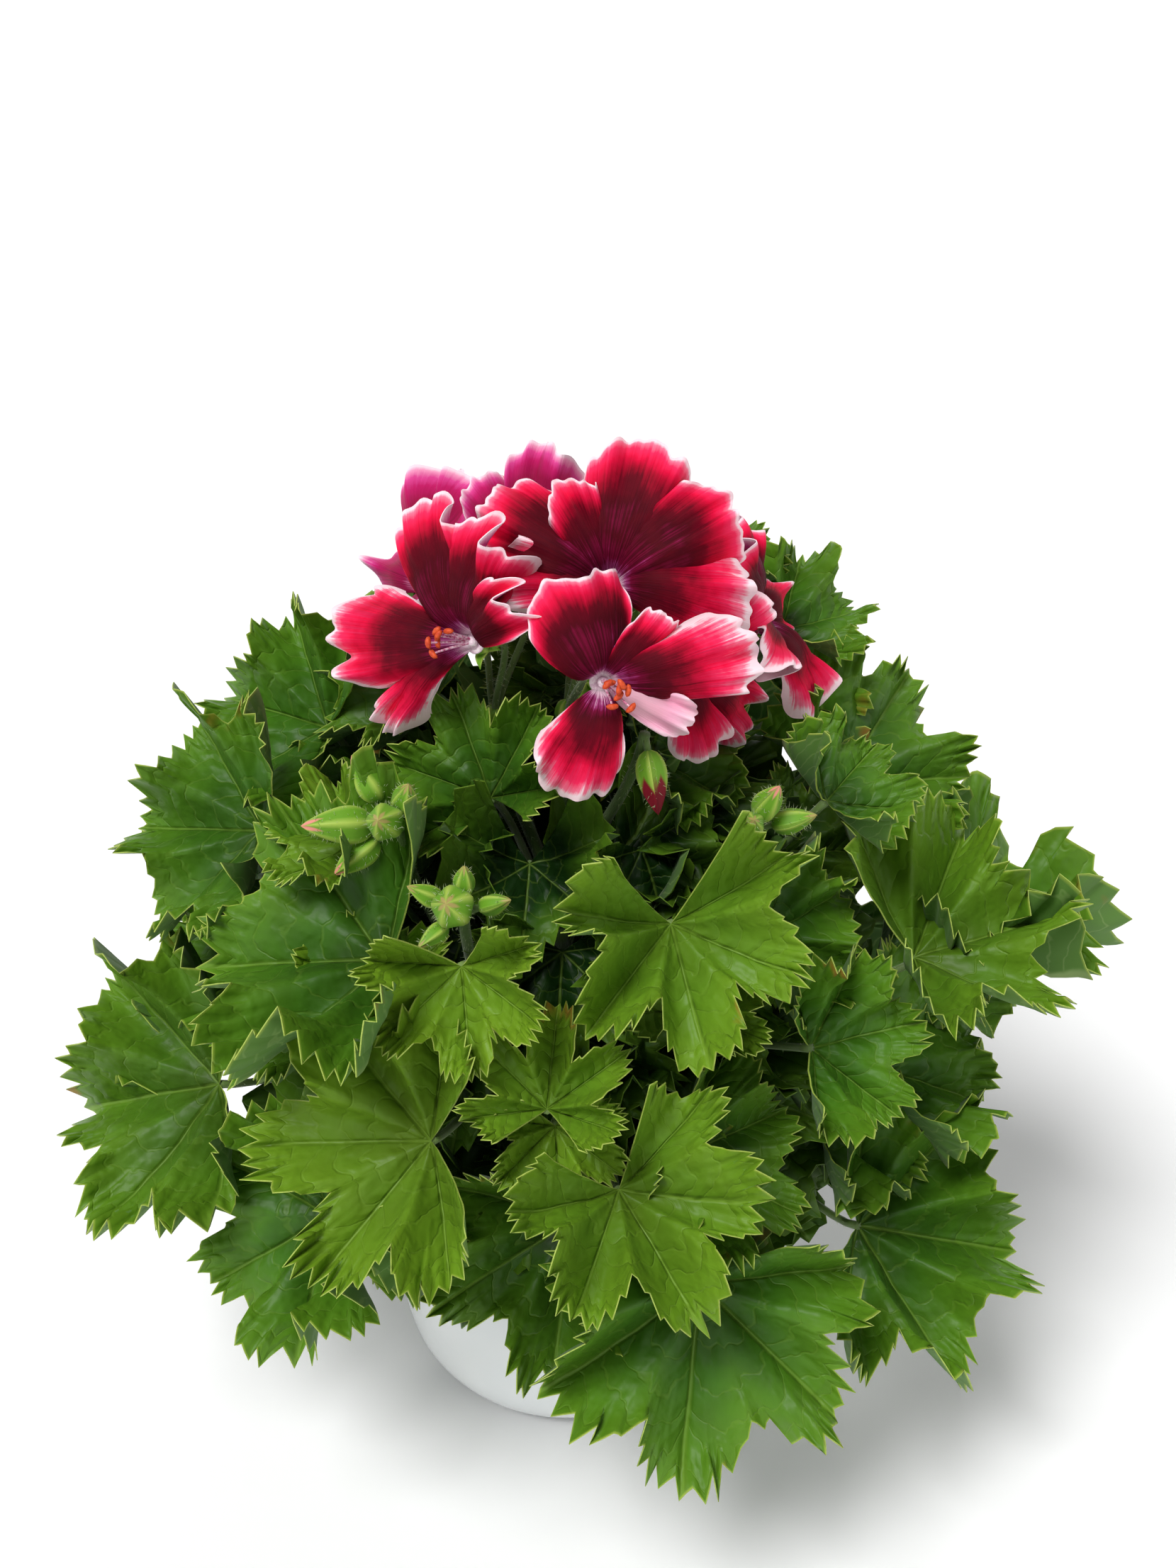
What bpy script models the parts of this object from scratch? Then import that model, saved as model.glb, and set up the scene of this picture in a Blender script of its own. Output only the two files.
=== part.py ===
"""Regal pelargonium in a round white pot.

A bushy pot plant: seven leafy shoots stand in the soil, and their cut, cupped leaves make a dome.
Two flower stalks rise from the middle shoot, with eight ruffled blooms, and four clusters of buds
sit among the top leaves.

Lengths in the tables are in millimetres, and MM turns them into Blender's metres. Bearings are in
degrees round the pot's axis: 0 is the front (-Y), 90 the right (+X) and 180 the back. The origin is
the middle of the pot's foot, and +Z is up. Run it with blender --background --python part.py, or
from Blender's text editor.
"""

import math
from typing import NamedTuple

import bmesh
import bpy
from mathutils import Matrix, Vector

MM = 0.001
UP = Vector((0.0, 0.0, 1.0))
CLEAR = 0.3  # gap between pieces that touch in the real plant
CLOSE_UP_SPAN = 4.0  # short edges left by a union are closed up to this length
CLOSE_UP_DRIFT = 0.2  # while no face shifts further than this
CLOSE_UP_ROUNDS = 4
CLOSE_UP_TURN = 0.7  # cosine of the angle that a face may turn by
SLIVER = 0.002  # twice the area below which a face counts as none, in square millimetres
WELD = 0.01  # points nearer to each other than this become one

# Pot: a turned shell with a rounded foot
POT_HEIGHT = 106.0
POT_RIM_RADIUS = 61.0
POT_WAIST = ((58.6, 70.0), (56.0, 37.0), (53.0, 19.0), (48.0, 9.0), (42.0, 3.2))  # outer radius and height
POT_FOOT_RADIUS = 34.0
POT_WALL = 3.0
POT_FLOOR = 4.0  # height of its inner floor
POT_FLOOR_RADIUS = 40.0
LIP_DROP = 1.0  # height of the lip's rounding
LIP_ROUND = 0.8  # and its width
POT_SIDES = 26

# Soil: it fills the pot to a little under the rim
SOIL_TOP = 95.0
SOIL_CROWN = 4.0  # how much higher it stands in the middle
ROOT_DEPTH = 22.0  # how far each shoot reaches down its hole
HOLE_OVER = 20.0  # how far a hole's cutter stands over the soil

# Canopy: the dome on which the leaves' hubs lie
CANOPY_REACH = 103.0
CANOPY_MIDDLE = 130.0
CANOPY_TOP = 248.0
CANOPY_POWER = 2.6

# Leaf blades
BLADE_THICK = 0.7
PETIOLE_RADIUS = 1.2
HUB_SINK = 0.05  # how far a petiole's end lies above its blade's middle
LOWEST_STALK = 11.0  # height of the first petiole above the soil
HIGHEST_STALK = 3.0  # depth of the last one below the shoot's crown
STALK_START = 1.2  # distance of a petiole's start from the stem's middle line
STALK_LEAVES = 0.62  # how firmly a petiole keeps its first direction, as a share of its span
STALK_ARRIVES = 0.75  # and its last one
STALK_LEAN = 0.12  # how far it then leans to the middle lobe
STALK_STEPS = (0.0, 0.36, 0.74, 1.0)  # shares of its length at its points
TOOTHED_LEAF = 47.0  # from this size up a blade has all its teeth
CUPPED_LEAF = 40.0  # from this size up a blade is cupped in two steps
LOBE_STEP = 50.0  # degrees from one lobe's line to the next
OUTLINE_ANGLES = (-128.0, -100.0, -50.0, 0.0, 50.0, 100.0, 128.0)  # of five lobes, between the hub's edges
OUTLINE_REACH = (0.5, 0.76, 0.93, 1.0, 0.93, 0.76, 0.5)  # share of the leaf's size at those angles
CUP_RING = (0.52, (-128.0, -75.0, -25.0, 25.0, 75.0, 128.0))  # share and angles of a cupped blade's bend
TOOTH_DEPTH = 0.11
NOTCH_DEPTH = 1.15  # of a notch at its middle, as a share of the leaf's cut
NOTCH_POWER = 5.0  # the higher, the narrower the notches
CUP_FRONT = 0.5  # share of a leaf's cup at the middle lobe's tip
CUP_BACK = 1.4  # and how much is added towards the hub's side lobes
FOLD = 0.12  # how far both sides rise from the middle lobe's line, as a share of the size like the next two
PLEAT = 0.08  # half the height from a lobe's line to the notch beside it
WAVE = 0.08  # half the height of the margin's ripples
WAVES = 9  # ripples round the margin
# Points of the margin, as share and tooth: from one lobe's tip to the next, and on to the hub's edge
TOOTHED_MARGIN = (
    ((0.0, 0), (0.14, 1), (0.3, 0), (0.5, 0), (0.7, 0), (0.86, 1)),
    ((0.0, 0), (0.3, 1), (0.6, 0)),
)
COARSE_MARGIN = (((0.0, 0), (0.3, 0), (0.5, 0), (0.7, 0)), ((0.0, 0), (0.5, 0)))

# Blooms
PETAL_THICK = 0.7
PETAL_SPREAD = 52.0  # degrees from a petal's middle line to its side, in the mean
PETAL_TAPER = 0.35  # share of the spread that a petal loses from its claw to its margin
PETAL_ROUND = 0.26  # how much shorter a petal is at its sides
THROAT_RADIUS = 3.4
THROAT_THICK = 1.6
CLAW_START = 2.3  # distance of the petals' claws from the bloom's axis
CLAW_HALF_WIDTH = 0.9
CLAW_SINK = 0.9  # how far the claws start below the throat's face
CALYX_LENGTH = 9.0
CALYX_RADIUS = 3.8
CALYX_WAIST = (0.63, 0.5)  # shares of its radius and length at its waist
CALYX_FOOT_RADIUS = 1.3
CALYX_SINK = 1.0  # how far a flower's stalk reaches into it
STALK_RADIUS = 1.9
STALK_SINK = 3.0  # how far a flower stalk's start lies below the shoot's crown
STALK_RISE = 0.8  # how firmly it rises, as a share of its span
PEDICEL_RADIUS = 1.0
PEDICEL_LEAVES = 0.6  # how firmly a flower's stalk keeps its first direction, as a share of its span
PEDICEL_ARRIVES = 0.8  # and its last one
UMBEL_RADIUS = 3.4  # of the knob where the flowers' stalks part
BUD_STALK_RADIUS = 1.5
BUD_PEDICEL_RADIUS = 0.9
BUD_STALK_SINK = 1.5  # how far a bud's stalk reaches into the knob and the bud
BUD_BELLY = (1.0, 0.45)  # shares of its radius and length where it is widest
BUD_NECK = (0.7, 0.12)  # and near its foot
CLUSTER_SINK = 2.0  # how far a bud cluster's stalk starts below the shoot's crown
CLUSTER_LEAVES = 0.9  # how firmly it keeps its first direction, as a share of its span
CLUSTER_ARRIVES = 0.5  # and its last one
KNOB_RADIUS = 2.4  # of the knob where the buds' stalks part
KNOB_SHARES = (0.87, 0.5)  # of a knob's radius at its side, and of its height there
STAMEN_LENGTH = 13.0
FILAMENT_RADIUS = 0.45
ANTHER_RADIUS = 1.1
ANTHER_HALF_LENGTH = 1.6
PAD_RADIUS = 1.5  # of the pad in the throat on which the stamens stand
PAD_HEIGHT = 1.6
PETAL_WAVES = 4.2  # radians of ripple from a petal's middle line to its side
PETAL_TWIST = 0.2  # how far each petal's one side lies above its neighbour
PETAL_RISE = 12.0  # degrees from the bloom's axis at which a petal leaves the throat
PETAL_ROWS = (
    (0.01, [(-1.0, 0), (1.0, 0)]),
    (0.55, [(w, 0) for w in (-1.0, -0.35, 0.35, 1.0)]),
    (1.0, [(w, 0) for w in (-0.95, -0.63, -0.32, 0.0, 0.32, 0.63, 0.95)]),
)
STEM_RADIUS = 3.4
STEM_TAPER = 0.75  # share of the radius left at its crown
STEM_UPRIGHT = 6.0  # height above the soil up to which a stem stands upright
STEM_STEPS = (0.35, 0.7, 1.0)  # shares of its leaning length at its points
HOLE_RADIUS = 4.3  # of a hole that clears a stem
CURVE_STEPS = (0.0, 0.33, 0.67, 1.0)  # shares of a flower or bud stalk's length at its points
CALYX_SIDES = BUD_SIDES = 5
KNOB_SIDES = PAD_SIDES = 6
THROAT_SIDES = 8


class Leaf(NamedTuple):
    """One leaf: where its hub is on the canopy, which way its upper side looks and where its tip points."""

    bearing: float  # of the hub
    height: float  # of the hub
    out: float  # beyond the canopy's surface
    size: float  # from the hub to the tip of the middle lobe
    looks: tuple  # bearing and elevation that the upper side faces
    turn: float  # the tip, from straight down, anticlockwise as seen from above the blade
    cup: float = 0.3  # how far the margin rises
    cut: float = 0.24  # depth of the notches between lobes
    droop: float = 0.12  # how far the middle lobe bends down


class Shoot(NamedTuple):
    """A stem that stands in the soil, and the leaves on it."""

    root: tuple  # bearing and distance from the axis at the soil
    crown: tuple  # bearing, distance and height of its top
    leaves: tuple


class Petal(NamedTuple):
    """One petal of a bloom."""

    around: float  # degrees round the bloom's axis, 0 at its top
    length: float
    breadth: float = 1.0  # share of the usual spread
    opening: float = 80.0  # degrees from the bloom's axis at the end
    curl: float = 0.0  # sideways hollow, positive towards the face
    ruffle: float = 0.07


class Bloom(NamedTuple):
    """One flower: its throat, the way it looks and how it is turned round its own axis."""

    name: str
    throat: tuple
    looks: tuple  # bearing and elevation
    roll: float
    petals: tuple


class Cluster(NamedTuple):
    """A bunch of buds on one stalk of a shoot."""

    shoot: str
    base: tuple  # where the bud stalks part
    buds: tuple  # of each: the way it looks, its stalk's length, its own length and radius


SHOOTS = {
    "shoot_middle": Shoot((10, 6), (-5, 16, 178), (
        Leaf(21, 218, 4, 41, (5, 47), 10, 0.42, 0.34),
        Leaf(-30, 232, -19, 33, (-10, 28), -155, 0.3, 0.3),
        Leaf(-12, 216, -34, 32, (0, 56), -4, 0.4, 0.2),
        Leaf(55, 236, -21, 32, (25, 43), 97, 0.25),
        Leaf(-64, 212, -44, 32, (-60, 72), 0),
        Leaf(28, 204, -58, 32, (20, 86), 24),
        Leaf(84, 218, -38, 34, (48, 50), 62),
        Leaf(-142, 222, -36, 33, (-20, 46), 0),
        Leaf(141, 220, -36, 33, (16, 46), 0),
        Leaf(174, 192, -68, 33, (0, 42), -8),
        Leaf(172, 240, -24, 34, (-4, 34), 176, 0.2, 0.2),
    )),
    "shoot_front_left": Shoot((-35, 20), (-30, 46, 150), (
        Leaf(-16, 214, 12, 30, (-8, 34), 10, 0.42, 0.3),
        Leaf(-18, 170, 8, 49, (-6, 36), -85, 0.18, 0.34, 0.05),
        Leaf(-32, 206, 2, 56, (-22, 58), -78, 0.24, 0.22),
        Leaf(-46, 229, 14, 26, (-28, 66), -84, 0.2),
        Leaf(-35, 190, -10, 28, (-10, 36), 188, 0.3),
        Leaf(-2, 178, 2, 28, (-5, 36), 178, 0.24, 0.42),
        Leaf(-46, 182, -14, 33, (-35, 48), -55, 0.3),
        Leaf(-42, 118, -4, 46, (-32, 36), -44, 0.18),
        Leaf(-23, 142, -9, 36, (-66, 24), -6, 0.25),
    )),
    "shoot_front_right": Shoot((30, 20), (22, 46, 148), (
        Leaf(8, 157, 6, 42, (2, 56), 30, 0.3, 0.3),
        Leaf(20, 120, 6, 58, (10, 32), -10, 0.1, 0.26, 0.05),
        Leaf(2, 124, -21, 49, (-8, 32), -4, 0.12, 0.3, 0.05),
        Leaf(22, 150, -12, 37, (24, 46), 46, 0.16),
        Leaf(42, 178, 2, 33, (18, 34), 92, 0.2, 0.24, 0.05),
        Leaf(24, 190, -13, 28, (8, 32), 165, 0.28, 0.32),
        Leaf(-1, 168, -6, 24, (6, 40), 0, 0.24, 0.36),
        Leaf(48, 197, -17, 33, (28, 24), 98, 0.26),
        Leaf(47, 166, -35, 32, (30, 48), 18),
        Leaf(14, 164, -36, 26, (12, 94), -24),
    )),
    "shoot_right": Shoot((95, 18), (72, 48, 165), (
        Leaf(70, 181, 9, 50, (-6, 64), 112, 0.36, 0.3),
        Leaf(100, 209, 1, 46, (24, 38), 130, 0.22),
        Leaf(92, 162, 12, 60, (150, 88), -55, 0.2),
        Leaf(66, 145, -2, 42, (42, 38), 100, 0.2),
        Leaf(54, 104, 4, 56, (24, 40), 66, 0.1, 0.3, 0.05),
        Leaf(92, 146, -4, 36, (70, 40), 40, 0.25),
        Leaf(104, 188, 2, 33, (70, 70), 86, 0.3),
        Leaf(66, 230, 18, 28, (42, 52), 106, 0.25),
        Leaf(86, 140, -29, 32, (70, 62), 16),
        Leaf(82, 200, -22, 28, (34, 39), 122, 0.2, 0.3),
        Leaf(60, 130, -16, 38, (34, 34), 80, 0.2, 0.3),
    )),
    "shoot_left": Shoot((-95, 18), (-76, 48, 165), (
        Leaf(-70, 136, 5, 57, (-28, 40), -66, 0.2, 0.28),
        Leaf(-78, 168, -10, 36, (-42, 30), -42, 0.25),
        Leaf(-77, 213, 8, 46, (-32, 42), -76, 0.2),
        Leaf(-100, 229, 8, 42, (-24, 44), -95, 0.2),
        Leaf(-108, 222, -15, 33, (-36, 66), -60, 0.22),
        Leaf(-106, 168, -2, 36, (-76, 34), -30, 0.2),
        Leaf(-102, 192, 7, 33, (-62, 58), -79, 0.25),
        Leaf(-92, 120, 2, 46, (-90, 36), -10, 0.2),
        Leaf(-56, 148, -32, 32, (-60, 50), -8),
        Leaf(-108, 238, -6, 38, (-20, 60), -102, 0.2),
    )),
    "shoot_back_right": Shoot((150, 16), (140, 44, 178), (
        Leaf(124, 232, 16, 34, (35, 32), 126, 0.22),
        Leaf(118, 250, 73, 32, (30, 54), 138, 0.2),
        Leaf(142, 256, 69, 30, (20, 54), 168, 0.2),
        Leaf(150, 205, 2, 46, (150, 48), 0, 0.22),
        Leaf(132, 176, -17, 46, (122, 52), 16, 0.22),
        Leaf(163, 158, 2, 46, (160, 38), -5, 0.2),
        Leaf(130, 128, 0, 46, (128, 34), 0, 0.18),
        Leaf(110, 128, 16, 42, (104, 38), 20, 0.2),
        Leaf(174, 116, 0, 46, (172, 32), 5, 0.18),
        Leaf(170, 236, 10, 38, (170, 60), 0, 0.2),
    )),
    "shoot_back_left": Shoot((-140, 18), (-145, 44, 178), (
        Leaf(-160, 212, 3, 46, (-165, 52), 24, 0.22),
        Leaf(-134, 186, -2, 44, (-134, 44), -8, 0.22),
        Leaf(-158, 172, 10, 46, (-166, 42), -8, 0.2),
        Leaf(-132, 145, -1, 46, (-120, 38), 0, 0.2),
        Leaf(-154, 130, 0, 46, (-148, 36), 6, 0.18),
    )),
}

UMBELS = (
    ("shoot_middle", (1.0, -13.0, 248.0)),
    ("shoot_middle", (-19.0, -12.0, 246.0)),
)
BLOOM_UMBEL = {
    "bloom_left": 1, "bloom_left_back": 1, "bloom_top_left": 1,
    "bloom_front": 0, "bloom_top": 0, "bloom_right": 0, "bloom_right_back": 0, "bloom_back": 0,
}
# The petals of these two are tangled, so they share a node
BLOOM_NODE = {"bloom_right": "blooms_right", "bloom_right_back": "blooms_right"}

BLOOMS = (
    Bloom("bloom_left", (-23, -28, 276.6), (-40, 20), 0, (
        Petal(-104, 43, 0.65, 76, 0.12),
        Petal(-144, 36, 0.3, 80, 0.8, 0.04),
        Petal(-27, 37, 0.63, 66, 0.35),
        Petal(12, 35, 0.56, 62, 0.2),
        Petal(50, 31, 0.5, 54, 0.4),
    )),
    Bloom("bloom_front", (10.7, -46, 273.8), (12, 18), 0, (
        Petal(-16, 28, 1.1, 76, -0.05, 0.06),
        Petal(46, 23, 0.56, 62, 0.2),
        Petal(82, 39, 0.58, 76, 0.1),
        Petal(118, 24, 0.47, 62, 0.8, 0.05),
        Petal(-158, 29, 0.81, 84, -0.15),
    )),
    Bloom("bloom_top", (12.3, -24, 291), (4, 36), 0, (
        Petal(-84, 29, 0.67, 70, 0.15),
        Petal(-24, 28, 0.56, 60, 0.2),
        Petal(20, 37, 0.81, 74, 0.0),
        Petal(62, 37, 0.67, 70, 0.15),
        Petal(100, 36, 0.67, 80, -0.1),
        Petal(-54, 37, 0.67, 80, 0.1),
    )),
    Bloom("bloom_right", (28, -25, 268), (48, 8), 0, (
        Petal(76, 32, 0.62, 66, 0.15),
        Petal(132, 41, 0.58, 86, -0.2),
        Petal(24, 27, 0.62, 62, 0.3, 0.05),
        Petal(176, 26, 0.56, 60, 0.2),
    )),
    Bloom("bloom_right_back", (52, 8, 266), (84, 26), 0, (
        Petal(44, 28, 0.67, 70, 0.1),
        Petal(112, 27, 0.67, 72, 0.0),
        Petal(176, 34, 0.56, 74, 0.2),
        Petal(-20, 28, 0.67, 70, 0.1),
        Petal(-94, 28, 0.67, 68, 0.1),
    )),
    Bloom("bloom_left_back", (-35, 5, 277), (-78, 34), 0, (
        Petal(-56, 36, 0.65, 70, 0.1),
        Petal(-104, 30, 0.62, 72, 0.2),
        Petal(-10, 31, 0.67, 70, 0.0),
        Petal(56, 29, 0.67, 70, 0.1),
        Petal(128, 28, 0.67, 72, 0.0),
    )),
    Bloom("bloom_top_left", (-8.6, -8, 290), (-20, 50), 0, (
        Petal(-2, 31, 0.58, 60, 0.15),
        Petal(-46, 26, 0.58, 60, 0.1),
        Petal(46, 27, 0.58, 60, 0.1),
        Petal(150, 20, 0.56, 60, 0.0),
    )),
    Bloom("bloom_back", (6, 23, 285), (172, 42), 0, (
        Petal(-32, 31, 0.69, 70, 0.1),
        Petal(36, 31, 0.69, 74, 0.1),
        Petal(106, 28, 0.69, 72, 0.0),
        Petal(180, 29, 0.69, 76, 0.0),
        Petal(-106, 28, 0.69, 70, 0.0),
    )),
)

# Stamens of the blooms that show them: degrees round the throat, lean and share of the full length
STAMENS = {
    "bloom_left": ((-110, 0.25, 1.0), (-60, 0.3, 0.85), (-150, 0.35, 0.9)),
    "bloom_front": ((100, 0.3, 0.9), (60, 0.15, 1.0), (-40, 0.1, 0.8), (140, 0.5, 0.95)),
}

CLUSTERS = (
    Cluster("shoot_front_left", (-43, -56, 237), (
        ((-68, 12), 6, 20, 4.6),
        ((-95, 62), 8, 15, 3.8),
        ((-10, 34), 8, 12, 4.4),
        ((-58, -26), 6, 15, 3.6),
        ((30, 62), 7, 12, 3.2),
    )),
    Cluster("shoot_front_left", (-25, -76, 223), (
        ((-16, 40), 6, 10, 5.0),
        ((-80, 34), 6, 11, 2.6),
        ((60, 30), 6, 11, 2.6),
        ((-40, -8), 6, 11, 2.4),
        ((20, 80), 6, 10, 2.6),
    )),
    Cluster("shoot_middle", (22, -41, 256), (
        ((24, -66), 4, 18, 3.8),
    )),
    Cluster("shoot_front_right", (50, -47, 230), (
        ((40, 60), 6, 15, 3.4),
        ((80, 20), 6, 13, 3.2),
        ((0, 40), 6, 11, 3.0),
    )),
)


def bearing_vector(bearing, elevation=0.0):
    """Unit vector that points along a bearing, raised by an elevation, both in degrees."""
    b, e = math.radians(bearing), math.radians(elevation)
    return Vector((math.sin(b) * math.cos(e), -math.cos(b) * math.cos(e), math.sin(e)))


def canopy_radius(height):
    """Distance of the canopy's surface from the axis at a height."""
    rise = CANOPY_TOP - CANOPY_MIDDLE if height > CANOPY_MIDDLE else CANOPY_MIDDLE
    share = min(abs(height - CANOPY_MIDDLE) / rise, 1.0)
    return CANOPY_REACH * math.sqrt(max(0.0, 1.0 - share**CANOPY_POWER))


def leaf_frame(leaf):
    """Matrix whose X is the middle lobe, Z the upper side's normal and place the hub, in millimetres."""
    normal = bearing_vector(*leaf.looks)
    downhill = bearing_vector(leaf.looks[0], leaf.looks[1] - 90.0)
    tip = Matrix.Rotation(math.radians(leaf.turn), 3, normal) @ downhill
    hub = bearing_vector(leaf.bearing) * (canopy_radius(leaf.height) + leaf.out)
    hub.z = leaf.height
    side = normal.cross(tip)
    frame = Matrix((tip, side, normal)).transposed().to_4x4()
    frame.translation = hub
    return frame


def outline_reach(angle, cut):
    """Share of the leaf's size that its outline reaches at an angle from the middle lobe, without teeth."""
    last = len(OUTLINE_ANGLES) - 2
    for span in range(last + 1):
        low, high = OUTLINE_ANGLES[span], OUTLINE_ANGLES[span + 1]
        if angle <= high or span == last:
            break
    share = (angle - low) / (high - low)
    reach = OUTLINE_REACH[span] + (OUTLINE_REACH[span + 1] - OUTLINE_REACH[span]) * share
    if 0 < span < last:
        reach *= 1.0 - NOTCH_DEPTH * cut * max(0.0, math.sin(math.pi * share)) ** NOTCH_POWER
    return reach


def blade_point(leaf, phase, share, angle, tooth=0.0):
    """Point of a blade's middle surface, in its own frame: share is 0 at the hub and 1 at the margin."""
    turn = math.radians(angle)
    reach = leaf.size * outline_reach(angle, leaf.cut) * (1.0 - tooth) * share
    sideways = math.sin(turn / 2.0) ** 2
    height = leaf.cup * (CUP_FRONT + CUP_BACK * sideways) * share**1.5
    height += FOLD * math.sin(turn) ** 2 * share**1.3
    height -= PLEAT * math.cos(2.0 * math.pi * angle / LOBE_STEP) * share**1.5
    height += WAVE * math.sin(WAVES * turn + phase) * share**3
    height -= leaf.droop * max(0.0, math.cos(turn)) * share**2
    return Vector((reach * math.cos(turn), reach * math.sin(turn), leaf.size * height))


def blade_rings(leaf):
    """The rings of a blade from the hub out: each a share and its (angle, tooth depth) pairs."""
    steps, end_steps = COARSE_MARGIN
    if leaf.size >= TOOTHED_LEAF:
        steps, end_steps = TOOTHED_MARGIN
    margin = []
    last = len(OUTLINE_ANGLES) - 2
    for span in range(last + 1):
        low, high = OUTLINE_ANGLES[span], OUTLINE_ANGLES[span + 1]
        if span == 0:
            margin += [(low, 0)] + [(high - (high - low) * s, t) for s, t in reversed(end_steps) if s > 0.0]
        else:
            margin += [(low + (high - low) * s, t) for s, t in (end_steps if span == last else steps)]
    margin.append((OUTLINE_ANGLES[-1], 0))
    rings = [(0.0, [(0.0, 0)])]
    if leaf.size >= CUPPED_LEAF:
        share, angles = CUP_RING
        rings.append((share, [(a, 0) for a in angles]))
    rings.append((1.0, margin))
    return rings


def bridge(first, second):
    """Triangles between two rows of (position, vertex number), each in rising order of position."""
    faces = []
    i = j = 0
    while i < len(first) - 1 or j < len(second) - 1:
        step_first = i < len(first) - 1 and (
            j == len(second) - 1 or first[i][0] + first[i + 1][0] < second[j][0] + second[j + 1][0])
        if step_first:
            faces.append((first[i][1], second[j][1], first[i + 1][1]))
            i += 1
        else:
            faces.append((first[i][1], second[j][1], second[j + 1][1]))
            j += 1
    return faces


def ringed_surface(rings, point):
    """Vertices and triangles of an open surface whose rows each have their own number of points."""
    vertices, faces, before = [], [], None
    for share, row in rings:
        numbered = []
        for place in row:
            numbered.append((place[0], len(vertices)))
            vertices.append(point(share, place))
        if before:
            faces += bridge(before, numbered)
        before = numbered
    return vertices, faces


def leaf_surface(leaf):
    """A blade's open middle surface in the part's frame, in millimetres."""
    phase = math.radians(61.0 * leaf.bearing + 47.0 * leaf.height)
    frame = leaf_frame(leaf)

    def point(share, place):
        angle, tooth = place
        return frame @ blade_point(leaf, phase, share, angle, TOOTH_DEPTH * tooth)

    return ringed_surface(blade_rings(leaf), point)


def curve_between(start, leave, end, arrive, steps=CURVE_STEPS):
    """Points on a smooth curve that leaves its start along a vector and arrives along another."""
    points = []
    for t in steps:
        points.append(
            start * (2 * t**3 - 3 * t**2 + 1) + leave * (t**3 - 2 * t**2 + t)
            + end * (3 * t**2 - 2 * t**3) + arrive * (t**3 - t**2))
    return points


def stem_point(shoot, height):
    """Point on a shoot's centre line at a height: it rises from its root and leans out to its crown."""
    start = bearing_vector(shoot.root[0]) * shoot.root[1]
    start.z = SOIL_TOP
    top = bearing_vector(shoot.crown[0]) * shoot.crown[1]
    top.z = shoot.crown[2]
    share = (height - start.z) / (top.z - start.z)
    if share <= 0.0:
        return Vector((start.x, start.y, height))
    point = start.lerp(top, share)
    bow = share * share
    point.x, point.y = start.x + (top.x - start.x) * bow, start.y + (top.y - start.y) * bow
    return point


def petiole_points(shoot, leaf):
    """Centre line of a leaf's stalk, from the stem to the middle of its hub."""
    frame = leaf_frame(leaf)
    hub = frame.translation
    tip, normal = frame.col[0].to_3d(), frame.col[2].to_3d()
    heights = sorted(each.height for each in shoot.leaves)
    rank = heights.index(leaf.height) / (len(heights) - 1)
    lowest, highest = SOIL_TOP + LOWEST_STALK, shoot.crown[2] - HIGHEST_STALK
    base = stem_point(shoot, lowest + (highest - lowest) * rank)
    sideways = Vector((hub.x - base.x, hub.y - base.y, 0.0)).normalized()
    base += sideways * STALK_START
    span = (hub - base).length
    outward = (hub - base).normalized()
    leave = (outward + UP) * STALK_LEAVES * span
    arrive = (tip * STALK_LEAN + normal) * STALK_ARRIVES * span
    return curve_between(base, leave, hub + normal * HUB_SINK, arrive, STALK_STEPS)


def petal_surface(bloom, petal):
    """A petal's open middle surface in the part's frame, in millimetres."""
    phase = math.radians(7.0 * petal.around + 60.0 * bloom.throat[0])
    axis, top, side = bloom_axes(bloom)
    around = math.radians(petal.around + bloom.roll)
    out = top * math.cos(around) + side * math.sin(around)
    across = axis.cross(out)
    throat = Vector(bloom.throat)

    def point(share, place):
        spread = PETAL_SPREAD * petal.breadth * (1.15 - PETAL_TAPER * share)
        turn = math.radians(spread * place[0])
        reach = petal.length * share * (1.0 - PETAL_ROUND * place[0] ** 2)
        along, beside = reach * math.cos(turn), reach * math.sin(turn)
        start, end = math.radians(PETAL_RISE), math.radians(petal.opening)
        bend = start + (end - start) * min(1.0, 1.6 * share)
        lean = 0.5 * (start + bend) + 0.5 * (bend - start) * share
        hollow = petal.curl * beside * beside / petal.length + PETAL_TWIST * beside
        hollow += petal.ruffle * petal.length * math.sin(PETAL_WAVES * place[0] + phase) * share**3
        forward = along * math.cos(lean) + hollow * math.sin(lean)
        outward = CLAW_START + along * math.sin(lean) - hollow * math.cos(lean)
        beside += CLAW_HALF_WIDTH * place[0]
        return throat + axis * (forward - CLAW_SINK) + out * outward + across * beside

    return ringed_surface(PETAL_ROWS, point)


def bloom_axes(bloom):
    """The way a bloom looks, its top and its right-hand side as seen from in front of it."""
    axis = bearing_vector(*bloom.looks)
    top = bearing_vector(bloom.looks[0], bloom.looks[1] + 90.0)
    return axis, top, top.cross(axis)


def aligned(origin, axis):
    """Matrix that carries a turned piece's foot to a point and its +Z to an axis."""
    frame = axis.to_track_quat("Z", "Y").to_matrix().to_4x4()
    frame.translation = origin
    return frame


def remove_everything():
    """Empties the file."""
    for thing in list(bpy.data.objects):
        bpy.data.objects.remove(thing, do_unlink=True)
    for group in list(bpy.data.collections):
        bpy.data.collections.remove(group)


def finish(name, colour, roughness):
    """A plain material."""
    material = bpy.data.materials.new(name)
    material.use_nodes = True
    shader = material.node_tree.nodes["Principled BSDF"]
    shader.inputs["Base Color"].default_value = (*colour, 1.0)
    shader.inputs["Roughness"].default_value = roughness
    shader.inputs["Metallic"].default_value = 0.0
    return material


def new_object(name, mesh, home):
    """An object with a mesh, in a collection."""
    piece = bpy.data.objects.new(name, mesh)
    home.objects.link(piece)
    return piece


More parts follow.
